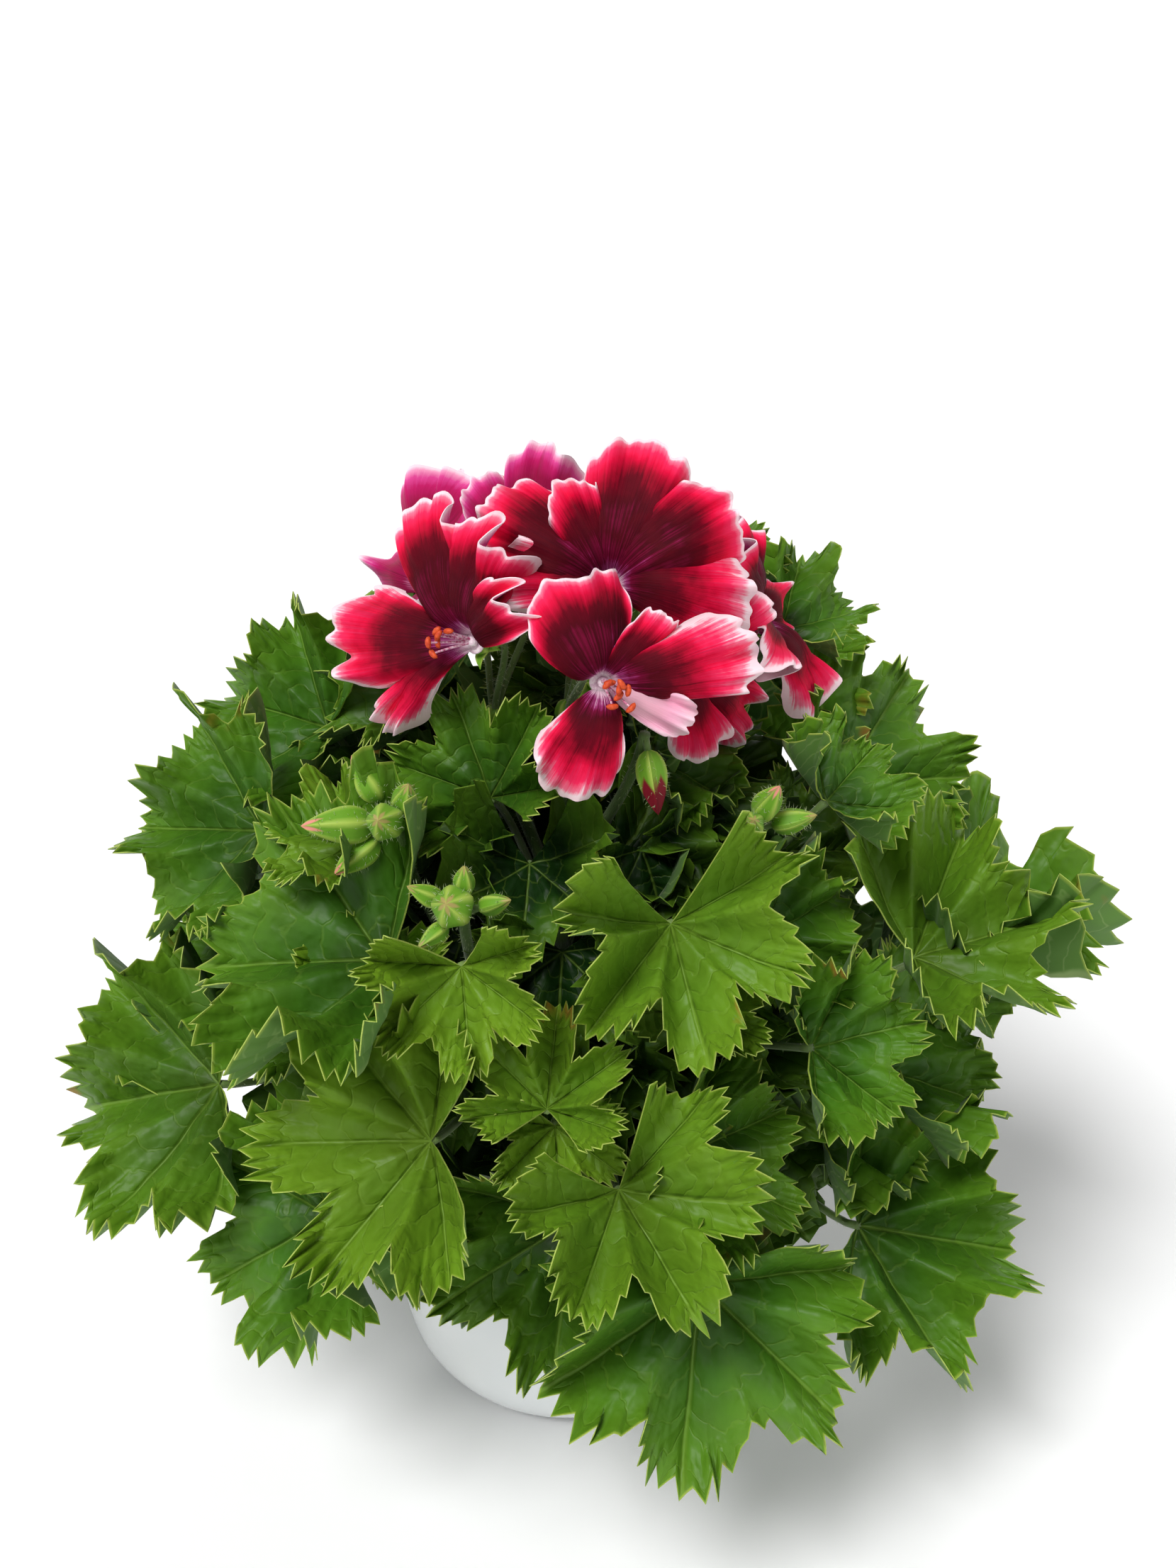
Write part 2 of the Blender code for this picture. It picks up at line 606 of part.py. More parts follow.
def apply_modifiers(piece):
    """Makes an object's modifiers part of its mesh."""
    depsgraph = bpy.context.evaluated_depsgraph_get()
    mesh = bpy.data.meshes.new_from_object(piece.evaluated_get(depsgraph))
    old = piece.data
    piece.modifiers.clear()
    piece.data = mesh
    bpy.data.meshes.remove(old)
    return piece


def weld_mesh(piece):
    """Welds the doubled points of a mesh and turns its faces outwards."""
    work = bmesh.new()
    work.from_mesh(piece.data)
    bmesh.ops.remove_doubles(work, verts=work.verts, dist=WELD * MM)
    bmesh.ops.recalc_face_normals(work, faces=work.faces)
    work.to_mesh(piece.data)
    work.free()
    return piece


def turned(name, profile, sides, home, frame=None):
    """A piece turned round its axis from radii and heights in millimetres, down the outer side."""
    mesh = bpy.data.meshes.new(name)
    points = [(r * MM, 0.0, z * MM) for r, z in profile]
    mesh.from_pydata(points, [(i, i + 1) for i in range(len(points) - 1)], [])
    piece = new_object(name, mesh, home)
    screw = piece.modifiers.new("turn", "SCREW")
    screw.steps = sides
    screw.render_steps = sides
    screw.use_merge_vertices = True
    screw.merge_threshold = WELD * MM
    screw.use_normal_calculate = True
    apply_modifiers(piece)
    weld_mesh(piece)
    if frame:
        moved = frame.copy()
        moved.translation = frame.translation * MM
        piece.data.transform(moved)
    return piece


def shell(name, surface, thickness, home):
    """A closed shell round an open surface given in millimetres."""
    vertices, faces = surface
    mesh = bpy.data.meshes.new(name)
    mesh.from_pydata([v * MM for v in vertices], [], faces)
    piece = new_object(name, mesh, home)
    solid = piece.modifiers.new("thickness", "SOLIDIFY")
    solid.thickness = thickness * MM
    solid.offset = 0.0
    solid.use_even_offset = False
    return apply_modifiers(piece)


def tube(name, points, radius, home, detail=0, end_radius=None):
    """A round rod along points in millimetres, with filled ends."""
    curve = bpy.data.curves.new(name, "CURVE")
    curve.dimensions = "3D"
    curve.bevel_depth = radius * MM
    curve.bevel_resolution = detail
    curve.use_fill_caps = True
    line = curve.splines.new("POLY")
    line.points.add(len(points) - 1)
    for i, (spot, point) in enumerate(zip(line.points, points)):
        spot.co = (*(point * MM), 1.0)
        if end_radius:
            spot.radius = 1.0 + (end_radius / radius - 1.0) * i / (len(points) - 1)
    rod = bpy.data.objects.new(name, curve)
    home.objects.link(rod)
    mesh = bpy.data.meshes.new_from_object(rod.evaluated_get(bpy.context.evaluated_depsgraph_get()))
    bpy.data.objects.remove(rod, do_unlink=True)
    bpy.data.curves.remove(curve)
    return weld_mesh(new_object(name, mesh, home))


def close_up(body, span, drift):
    """Closes up a body's edges below a span, where no face turns over or shifts by more than a drift."""
    mesh = body.data
    mesh.calc_loop_triangles()
    places = [v.co / MM for v in mesh.vertices]
    faces = {i: tuple(t.vertices) for i, t in enumerate(mesh.loop_triangles)}
    around = [set() for _ in places]
    for i, face in faces.items():
        for v in face:
            around[v].add(i)

    def neighbours(v):
        return {w for i in around[v] for w in faces[i]} - {v}

    def stays_flat(gone, kept):
        for i in around[gone]:
            if kept in faces[i]:
                continue
            a, b, c = (places[v] for v in faces[i])
            x, y, z = (places[kept if v == gone else v] for v in faces[i])
            old, new = (b - a).cross(c - a), (y - x).cross(z - x)
            if new.length < SLIVER:
                return False
            if old.length < SLIVER:
                continue
            if old.dot(new) < CLOSE_UP_TURN * old.length * new.length:
                return False
            if abs(old.dot(places[kept] - a)) > drift * old.length:
                return False
        return True

    for _ in range(CLOSE_UP_ROUNDS):
        edges = {tuple(sorted(pair)) for f in faces.values() for pair in zip(f, f[1:] + f[:1])}
        short = [((places[a] - places[b]).length, a, b) for a, b in edges]
        for _, a, b in sorted(edge for edge in short if edge[0] < span):
            shared = around[a] & around[b]
            if len(shared) != 2 or len(neighbours(a) & neighbours(b)) != 2:
                continue
            for gone, kept in ((a, b), (b, a)):
                if not stays_flat(gone, kept):
                    continue
                for i in shared:
                    for v in faces.pop(i):
                        around[v].discard(i)
                for i in around[gone]:
                    faces[i] = tuple(kept if v == gone else v for v in faces[i])
                    around[kept].add(i)
                around[gone] = set()
                break
    used = sorted({v for face in faces.values() for v in face})
    number = {v: i for i, v in enumerate(used)}
    closed = bpy.data.meshes.new(body.name)
    triangles = [[number[v] for v in face] for face in faces.values()]
    closed.from_pydata([places[v] * MM for v in used], [], triangles)
    body.data = closed
    bpy.data.meshes.remove(mesh)


def joined(name, pieces, material, home):
    """One closed body from overlapping pieces."""
    body = pieces[0]
    body.name = name
    if len(pieces) > 1:
        others = bpy.data.collections.new(f"{name}_pieces")
        bpy.context.scene.collection.children.link(others)
        for piece in pieces[1:]:
            for owner in list(piece.users_collection):
                owner.objects.unlink(piece)
            others.objects.link(piece)
        union = body.modifiers.new("join", "BOOLEAN")
        union.operation = "UNION"
        union.solver = "MANIFOLD"
        union.operand_type = "COLLECTION"
        union.collection = others
        apply_modifiers(body)
        for piece in list(others.objects):
            bpy.data.objects.remove(piece, do_unlink=True)
        bpy.data.collections.remove(others)
        close_up(body, CLOSE_UP_SPAN, CLOSE_UP_DRIFT)
    body.data.materials.clear()
    body.data.materials.append(material)
    for polygon in body.data.polygons:
        polygon.use_smooth = False
    return body


def take_out(body, cutter):
    """Takes a cutter out of a body."""
    bore = body.modifiers.new("cut", "BOOLEAN")
    bore.operation = "DIFFERENCE"
    bore.solver = "EXACT"
    bore.object = cutter
    apply_modifiers(body)


def pot_profile():
    """Outer side of the pot from its rim to its foot, and the inner side from the rim to the floor."""
    outer = [(POT_RIM_RADIUS, POT_HEIGHT - LIP_DROP), *POT_WAIST, (POT_FOOT_RADIUS, 0.0)]
    inner = [(r - POT_WALL, z) for r, z in outer[:4]] + [(POT_FLOOR_RADIUS, POT_FLOOR)]
    return outer, inner


def build_pot(home, material):
    """The pot: one turned shell with a rounded lip."""
    outer, inner = pot_profile()
    lip = [(POT_RIM_RADIUS - POT_WALL + LIP_ROUND, POT_HEIGHT), (POT_RIM_RADIUS - LIP_ROUND, POT_HEIGHT)]
    profile = [(0.0, POT_FLOOR)] + list(reversed(inner)) + lip + outer + [(0.0, 0.0)]
    pot = turned("pot", profile, POT_SIDES, home)
    return joined("pot", [pot], material, home)


def build_soil(home, cutters, material):
    """The soil: it fills the pot and has a plain hole for each shoot."""
    inner = pot_profile()[1]
    walls = [(r - CLEAR, z + CLEAR) for r, z in inner[1:]]
    slope = (walls[0][0] - inner[0][0] + CLEAR) / (walls[0][1] - inner[0][1])
    brim = walls[0][0] + slope * (SOIL_TOP - walls[0][1])
    profile = [(0.0, SOIL_TOP + SOIL_CROWN), (brim * 0.5, SOIL_TOP + SOIL_CROWN * 0.8), (brim, SOIL_TOP)]
    profile += walls + [(0.0, walls[-1][1])]
    soil = turned("soil", profile, POT_SIDES, home)
    for name, shoot in SHOOTS.items():
        foot = bearing_vector(shoot.root[0]) * shoot.root[1]
        foot.z = SOIL_TOP - ROOT_DEPTH - CLEAR
        head = foot + Vector((0.0, 0.0, ROOT_DEPTH + HOLE_OVER))
        cutter = tube(f"{name}_hole", [foot, head], HOLE_RADIUS, cutters, 1)
        cutter.hide_render = True
        cutter.display_type = "WIRE"
        take_out(soil, cutter)
    return joined("soil", [soil], material, home)


def stem_lines():
    """Shoot, centre line, radii at both ends and roundness of every stem, flower stalk and bud stalk."""
    lines = []
    for name, shoot in SHOOTS.items():
        top = shoot.crown[2]
        upright = SOIL_TOP + STEM_UPRIGHT
        heights = [SOIL_TOP - ROOT_DEPTH, upright] + [upright + (top - upright) * s for s in STEM_STEPS]
        points = [stem_point(shoot, h) for h in heights]
        lines.append((name, points, STEM_RADIUS, STEM_RADIUS * STEM_TAPER, 1))
    for owner, umbel in UMBELS:
        start = stem_point(SHOOTS[owner], SHOOTS[owner].crown[2] - STALK_SINK)
        end = Vector(umbel)
        rise = UP * (end - start).length * STALK_RISE
        lines.append((owner, curve_between(start, rise, end, rise), STALK_RADIUS, STALK_RADIUS, 0))
    for bloom in BLOOMS:
        owner, umbel = UMBELS[BLOOM_UMBEL[bloom.name]]
        axis = bloom_axes(bloom)[0]
        base = Vector(bloom.throat) - axis * (THROAT_THICK + CLEAR + CALYX_LENGTH - CALYX_SINK)
        away = (base - Vector(umbel)).normalized()
        start = Vector(umbel) + away * UMBEL_RADIUS * 0.7
        span = (base - start).length
        leave = (away + UP * 0.5) * PEDICEL_LEAVES * span
        points = curve_between(start, leave, base, axis * PEDICEL_ARRIVES * span)
        lines.append((owner, points, PEDICEL_RADIUS, PEDICEL_RADIUS, 0))
    for cluster in CLUSTERS:
        shoot = SHOOTS[cluster.shoot]
        start = stem_point(shoot, shoot.crown[2] - CLUSTER_SINK)
        end = Vector(cluster.base)
        span = (end - start).length
        leave = UP * CLUSTER_LEAVES * span
        arrive = (UP + (end - start).normalized()) * CLUSTER_ARRIVES * span
        points = curve_between(start, leave, end, arrive)
        lines.append((cluster.shoot, points, BUD_STALK_RADIUS, BUD_STALK_RADIUS, 0))
        for looks, away, length, radius in cluster.buds:
            axis = bearing_vector(*looks)
            ends = [end + axis * BUD_STALK_SINK, end + axis * (away + BUD_STALK_SINK)]
            lines.append((cluster.shoot, ends, BUD_PEDICEL_RADIUS, BUD_PEDICEL_RADIUS, 0))
    return lines


def calyx_profile():
    """Receptacle behind a bloom, from its face back to the flower's stalk."""
    waist = (CALYX_RADIUS * CALYX_WAIST[0], -CALYX_LENGTH * CALYX_WAIST[1])
    foot = (CALYX_FOOT_RADIUS, -CALYX_LENGTH)
    return [(0.0, 0.0), (CALYX_RADIUS, 0.0), waist, foot, (0.0, -CALYX_LENGTH)]


def knob_profile(radius):
    """A knob where stalks part, from its top down."""
    side, rise = radius * KNOB_SHARES[0], radius * KNOB_SHARES[1]
    return [(0.0, radius), (side, rise), (side, -rise), (0.0, -radius)]


def bud_profile(length, radius):
    """A pointed bud from its tip down to its foot."""
    belly, neck = ((radius * wide, length * along) for wide, along in (BUD_BELLY, BUD_NECK))
    return [(0.0, length), belly, neck, (0.0, 0.0)]


def build_green(home, material):
    """Every shoot with its leaves, flower stalks, calyces and buds, fused into one body each."""
    pieces = {name: [] for name in SHOOTS}
    for name, points, radius, end, detail in stem_lines():
        pieces[name].append(tube("stem", points, radius, home, detail, end))
    for bloom in BLOOMS:
        owner = UMBELS[BLOOM_UMBEL[bloom.name]][0]
        axis = bloom_axes(bloom)[0]
        seat = Vector(bloom.throat) - axis * (THROAT_THICK + CLEAR)
        pieces[owner].append(turned("calyx", calyx_profile(), CALYX_SIDES, home, aligned(seat, axis)))
    for owner, umbel in UMBELS:
        knob = turned("umbel", knob_profile(UMBEL_RADIUS), KNOB_SIDES, home, aligned(Vector(umbel), UP))
        pieces[owner].append(knob)
    for cluster in CLUSTERS:
        if len(cluster.buds) > 1:
            frame = aligned(Vector(cluster.base), UP)
            knob = turned("knob", knob_profile(KNOB_RADIUS), KNOB_SIDES, home, frame)
            pieces[cluster.shoot].append(knob)
        for looks, away, length, radius in cluster.buds:
            axis = bearing_vector(*looks)
            frame = aligned(Vector(cluster.base) + axis * away, axis)
            bud = turned("bud", bud_profile(length, radius), BUD_SIDES, home, frame)
            pieces[cluster.shoot].append(bud)
    for name, shoot in SHOOTS.items():
        for leaf in shoot.leaves:
            pieces[name].append(shell("blade", leaf_surface(leaf), BLADE_THICK, home))
            pieces[name].append(tube("stalk", petiole_points(shoot, leaf), PETIOLE_RADIUS, home))
        joined(name, pieces[name], material, home)


def build_blooms(home, petal_red, stamen_orange):
    """The petals of each bloom, fused in its throat, and the stamens of the open ones."""
    groups = {}
    for bloom in BLOOMS:
        axis = bloom_axes(bloom)[0]
        throat = Vector(bloom.throat)
        back = (THROAT_RADIUS * 0.7, -THROAT_THICK)
        profile = [(0.0, 0.0), (THROAT_RADIUS, 0.0), back, (0.0, -THROAT_THICK)]
        pieces = groups.setdefault(BLOOM_NODE.get(bloom.name, bloom.name), [])
        pieces.append(turned("throat", profile, THROAT_SIDES, home, aligned(throat, axis)))
        for petal in bloom.petals:
            pieces.append(shell("petal", petal_surface(bloom, petal), PETAL_THICK, home))
    for name, pieces in groups.items():
        joined(name, pieces, petal_red, home)
    for bloom in BLOOMS:
        if bloom.name not in STAMENS:
            continue
        joined(f"{bloom.name}_stamens", stamen_pieces(bloom, home), stamen_orange, home)


def stamen_pieces(bloom, home):
    """A bunch of stamens on a small pad in the throat."""
    axis, top, side = bloom_axes(bloom)
    pad = Vector(bloom.throat) + axis * CLEAR
    profile = [(0.0, PAD_HEIGHT), (PAD_RADIUS, PAD_HEIGHT), (PAD_RADIUS, 0.0), (0.0, 0.0)]
    pieces = [turned("pad", profile, PAD_SIDES, home, aligned(pad, axis))]
    for angle, lean, share in STAMENS[bloom.name]:
        turn = math.radians(angle)
        out = top * math.cos(turn) + side * math.sin(turn)
        start = pad + axis * PAD_HEIGHT * 0.5 + out * PAD_RADIUS * 0.35
        middle = start + axis * STAMEN_LENGTH * share * 0.5 + out * STAMEN_LENGTH * share * 0.15
        end = start + axis * STAMEN_LENGTH * share + out * STAMEN_LENGTH * share * lean
        pieces.append(tube("filament", [start, middle, end], FILAMENT_RADIUS, home))
        away = (end - middle).normalized()
        across = away.cross(out).normalized() if lean else side
        ends = [end - across * ANTHER_HALF_LENGTH, end + across * ANTHER_HALF_LENGTH]
        pieces.append(tube("anther", ends, ANTHER_RADIUS, home))
    return pieces


def main():
    """Builds the whole plant in its pot."""
    remove_everything()
    home = bpy.data.collections.new("regal_pelargonium")
    cutters = bpy.data.collections.new("cutters")
    bpy.context.scene.collection.children.link(home)
    bpy.context.scene.collection.children.link(cutters)
    white_glaze = finish("white_glaze", (0.86, 0.86, 0.85), 0.25)
    dark_soil = finish("dark_soil", (0.045, 0.03, 0.02), 0.95)
    green_leaf = finish("green_leaf", (0.07, 0.2, 0.03), 0.45)
    petal_red = finish("petal_red", (0.45, 0.01, 0.03), 0.5)
    stamen_orange = finish("stamen_orange", (0.8, 0.16, 0.05), 0.6)
    build_pot(home, white_glaze)
    build_soil(home, cutters, dark_soil)
    build_green(home, green_leaf)
    build_blooms(home, petal_red, stamen_orange)


if __name__ == "__main__":
    main()
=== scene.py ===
"""Regal pelargonium in a white pot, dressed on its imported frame.

Every leaf, petal, bud and stem is a curved mesh that follows the same rule and the same tables as its
plain solid, with teeth, veins, frills and hairs added. Lengths in the tables are in millimetres, and MM
turns them into metres. Bearings are in degrees round the pot's axis: 0 is the front (-Y), 90 the right
(+X) and 180 the back. A shape's tone is three shares between 0 and 1 that its finish reads.
"""

import logging
import math
from dataclasses import dataclass, field
from enum import Enum

import bpy
import numpy as np
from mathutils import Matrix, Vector


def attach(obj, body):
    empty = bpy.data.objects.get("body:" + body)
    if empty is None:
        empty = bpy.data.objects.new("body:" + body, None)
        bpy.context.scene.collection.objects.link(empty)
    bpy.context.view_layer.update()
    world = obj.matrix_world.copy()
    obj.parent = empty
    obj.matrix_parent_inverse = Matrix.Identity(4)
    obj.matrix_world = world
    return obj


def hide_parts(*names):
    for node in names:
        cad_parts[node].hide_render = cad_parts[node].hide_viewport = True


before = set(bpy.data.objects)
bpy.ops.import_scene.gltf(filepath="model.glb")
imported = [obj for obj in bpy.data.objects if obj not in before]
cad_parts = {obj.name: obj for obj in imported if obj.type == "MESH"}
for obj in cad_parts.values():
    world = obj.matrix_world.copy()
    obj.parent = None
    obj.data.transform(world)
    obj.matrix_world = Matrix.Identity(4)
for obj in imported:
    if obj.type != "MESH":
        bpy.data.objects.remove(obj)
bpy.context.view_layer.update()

LOG = logging.getLogger("pelargonium")
MM = 0.001
ROOT = "root"
UP = np.array((0.0, 0.0, 1.0))
RIGHT = np.array((1.0, 0.0, 0.0))
PLAIN = (0.5, 0.0, 0.0)  # tone of a part whose finish needs none
SHUT = (0.0, 0.0, 0.0)  # tone of green skin that shows no petal


# Directions, curves and colours

def bearing_vector(bearing: float, elevation: float = 0.0) -> np.ndarray:
    """Gives the unit vector along a bearing, raised by an elevation.

    Args:
        bearing: Degrees round the pot's axis, 0 at the front.
        elevation: Degrees above the horizon.

    Returns:
        A vector of length 1.
    """
    b, e = math.radians(bearing), math.radians(elevation)
    return np.array((math.sin(b) * math.cos(e), -math.cos(b) * math.cos(e), math.sin(e)))


def unit(vector: np.ndarray) -> np.ndarray:
    """Scales vectors, along their last axis, to length 1."""
    return vector / np.maximum(np.linalg.norm(vector, axis=-1, keepdims=True), 1e-9)


def turned_about(vector: np.ndarray, axis: np.ndarray, degrees: float) -> np.ndarray:
    """Turns a vector about an axis.

    Args:
        vector: The vector to turn.
        axis: Unit vector to turn about.
        degrees: Anticlockwise as seen against the axis.

    Returns:
        The turned vector.
    """
    a = math.radians(degrees)
    return (vector * math.cos(a) + np.cross(axis, vector) * math.sin(a)
            + axis * np.dot(axis, vector) * (1.0 - math.cos(a)))


def curve_between(start: np.ndarray, leave: np.ndarray, end: np.ndarray, arrive: np.ndarray,
                  count: int) -> np.ndarray:
    """Runs a smooth curve from one point to another.

    Args:
        start: First point.
        leave: Vector along which the curve leaves it.
        end: Last point.
        arrive: Vector along which the curve arrives there.
        count: Number of points.

    Returns:
        The points, one a row.
    """
    t = np.linspace(0.0, 1.0, count)[:, None]
    return (start * (2 * t**3 - 3 * t**2 + 1) + leave * (t**3 - 2 * t**2 + t)
            + end * (3 * t**2 - 2 * t**3) + arrive * (t**3 - t**2))


def smooth_step(low: float, high: float, value: np.ndarray) -> np.ndarray:
    """Rises smoothly from 0 at one value to 1 at another."""
    t = np.clip((value - low) / (high - low), 0.0, 1.0)
    return t * t * (3.0 - 2.0 * t)


def square_to(axis: np.ndarray) -> np.ndarray:
    """Gives a unit vector square to an axis."""
    return unit(np.cross(axis, UP if abs(axis[2]) < 0.9 else RIGHT))


def any_way(ways: np.ndarray, count: int, rng: np.random.Generator) -> np.ndarray:
    """Draws unit vectors square to given ones.

    Args:
        ways: One vector for all, or one a row.
        count: How many to draw.
        rng: Seeded source of them.

    Returns:
        The vectors, one a row.
    """
    return unit(np.cross(ways, rng.normal(0.0, 1.0, (count, 3))))


def linear(hex_colour: str) -> tuple[float, float, float, float]:
    """Turns an sRGB hex colour into linear values.

    Args:
        hex_colour: Such as "#3E7420".

    Returns:
        Red, green, blue and a full alpha.
    """
    parts = [int(hex_colour[i:i + 2], 16) / 255.0 for i in (1, 3, 5)]
    red, green, blue = (p / 12.92 if p <= 0.04045 else ((p + 0.055) / 1.055) ** 2.4 for p in parts)
    return red, green, blue, 1.0


# Materials

Source = bpy.types.Node | bpy.types.NodeSocket
MIX_A, MIX_B, MIX_RESULT = 6, 7, 2  # places of the two colours and of the mixed one on a colour mix
SEPALS = 5
HALF_SWEEP, END_LOBE, LOBE_STEP = 128.0, 100.0, 50.0  # degrees from a leaf's middle lobe to its ends


def join(tree: bpy.types.NodeTree, source: Source | float | tuple,
         socket: bpy.types.NodeSocket) -> None:
    """Feeds an input.

    Args:
        tree: The material's node tree.
        source: A node, whose main output is joined, a socket to join, or a value to set.
        socket: The input.
    """
    if isinstance(source, bpy.types.Node):
        source = source.outputs[MIX_RESULT if source.type == "MIX" else 0]
    if isinstance(source, bpy.types.NodeSocket):
        tree.links.new(source, socket)
    else:
        socket.default_value = source


def put(tree: bpy.types.NodeTree, kind: str, links: dict | tuple = (), stops: tuple = (),
        **settings: object) -> bpy.types.Node:
    """Adds a node with its settings and links.

    Args:
        tree: The material's node tree.
        kind: The node's type name without its first word.
        links: What feeds each input, by its name or number, or in the order of the inputs. For a range
            these are the value, the two ends that it comes from and the two that it goes to.
        stops: Places and sRGB colours of a colour ramp.
        **settings: The node's own properties.

    Returns:
        The new node.
    """
    node = tree.nodes.new("ShaderNode" + kind)
    for key, value in settings.items():
        setattr(node, key, value)
    for socket, source in links.items() if isinstance(links, dict) else enumerate(links):
        join(tree, source, node.inputs[socket])
    if stops:
        ramp = node.color_ramp
        while len(ramp.elements) < len(stops):
            ramp.elements.new(0.5)
        for element, (place, colour) in zip(ramp.elements, stops):
            element.position = place
            element.color = linear(colour)
    return node


def shader_of(material: bpy.types.Material) -> bpy.types.Node:
    """Finds a material's main shader."""
    return material.node_tree.nodes["Principled BSDF"]


@dataclass(frozen=True)
class Finish:
    """What every finish has: the name of its real stuff and typical optical values."""

    name: str = "finish"
    ior: float = 1.45
    roughness: float = 0.5
    gloss: float = 0.5
    coat: float = 0.0
    coat_roughness: float = 0.12
    sheen: float = 0.0
    relief: float = 0.5
    depth_mm: float = 0.4

    def make(self) -> bpy.types.Material:
        """Makes the material, with its plain values on the shader and its pattern from paint().

        Returns:
            The material.
        """
        material = bpy.data.materials.new(self.name)
        material.use_nodes = True
        tree, shader = material.node_tree, shader_of(material)
        colour, height = self.paint(tree)
        feeds = {
            "Base Color": colour, "IOR": self.ior, "Metallic": 0.0, "Roughness": self.roughness,
            "Specular IOR Level": self.gloss, "Coat Weight": self.coat,
            "Coat Roughness": self.coat_roughness, "Sheen Weight": self.sheen,
        }
        if height:
            feeds["Normal"] = put(tree, "Bump", {
                "Strength": self.relief, "Distance": self.depth_mm * MM, "Height": height})
        for socket, source in feeds.items():
            join(tree, source, shader.inputs[socket])
        return material

    def paint(self, tree: bpy.types.NodeTree) -> tuple[Source, Source | None]:
        """Adds the pattern's nodes.

        Args:
            tree: The material's node tree.

        Returns:
            What gives the colour, and what gives the relief's height if there is any.
        """
        raise NotImplementedError


@dataclass(frozen=True)
class GlazedStoneware(Finish):
    """Slip-cast stoneware, glazed white: an even pale surface, softly mirrored, a little wavy."""

    name: str = "glazed_stoneware"
    ior: float = 1.52
    roughness: float = 0.22
    coat: float = 0.25
    relief: float = 0.25
    depth_mm: float = 0.2
    body: str = "#E6E9E8"
    shade: str = "#D9DEDF"
    peel_mm: float = 6.0  # length of the glaze's slow waves
    cloud_scale: float = 18.0  # clouds about 55 mm across

    def paint(self, tree: bpy.types.NodeTree) -> tuple[Source, Source | None]:
        """Lays a faint cloud of tone and the glaze's slow waves.

        Args:
            tree: The material's node tree.

        Returns:
            What gives the colour, and what gives the relief's height if there is any.
        """
        place = put(tree, "TexCoord").outputs["Object"]
        cloud = put(tree, "TexNoise", {"Vector": place, "Scale": self.cloud_scale, "Detail": 3.0})
        tone = put(tree, "ValToRGB", (cloud,), stops=((0.3, self.shade), (0.7, self.body)))
        waves = put(tree, "TexNoise", {
            "Vector": place, "Scale": 1.0 / (self.peel_mm * MM), "Detail": 1.0})
        return tone, waves


@dataclass(frozen=True)
class PottingSoil(Finish):
    """Moist peat potting soil: dark brown crumbs of 1 to 3 mm, matt, with paler fibres."""

    name: str = "potting_soil"
    roughness: float = 0.95
    relief: float = 0.8
    depth_mm: float = 1.0
    colours: tuple = ((0.05, "#17100B"), (0.3, "#33241A"), (0.6, "#5A4331"))
    crumb_mm: float = 2.2
    fibre_scale: float = 900.0  # fibres a little over 1 mm long

    def paint(self, tree: bpy.types.NodeTree) -> tuple[Source, Source | None]:
        """Scatters crumbs of several browns with deep gaps between them.

        Args:
            tree: The material's node tree.

        Returns:
            What gives the colour, and what gives the relief's height if there is any.
        """
        place = put(tree, "TexCoord").outputs["Object"]
        crumbs = put(tree, "TexVoronoi", {
            "Vector": place, "Scale": 1.0 / (self.crumb_mm * MM), "Randomness": 1.0})
        fibre = put(tree, "TexNoise", {
            "Vector": place, "Scale": self.fibre_scale, "Detail": 5.0, "Roughness": 0.7})
        mixed = put(tree, "Math", (crumbs.outputs["Color"], fibre), operation="MULTIPLY")
        tone = put(tree, "ValToRGB", (mixed,), stops=self.colours)
        return tone, mixed


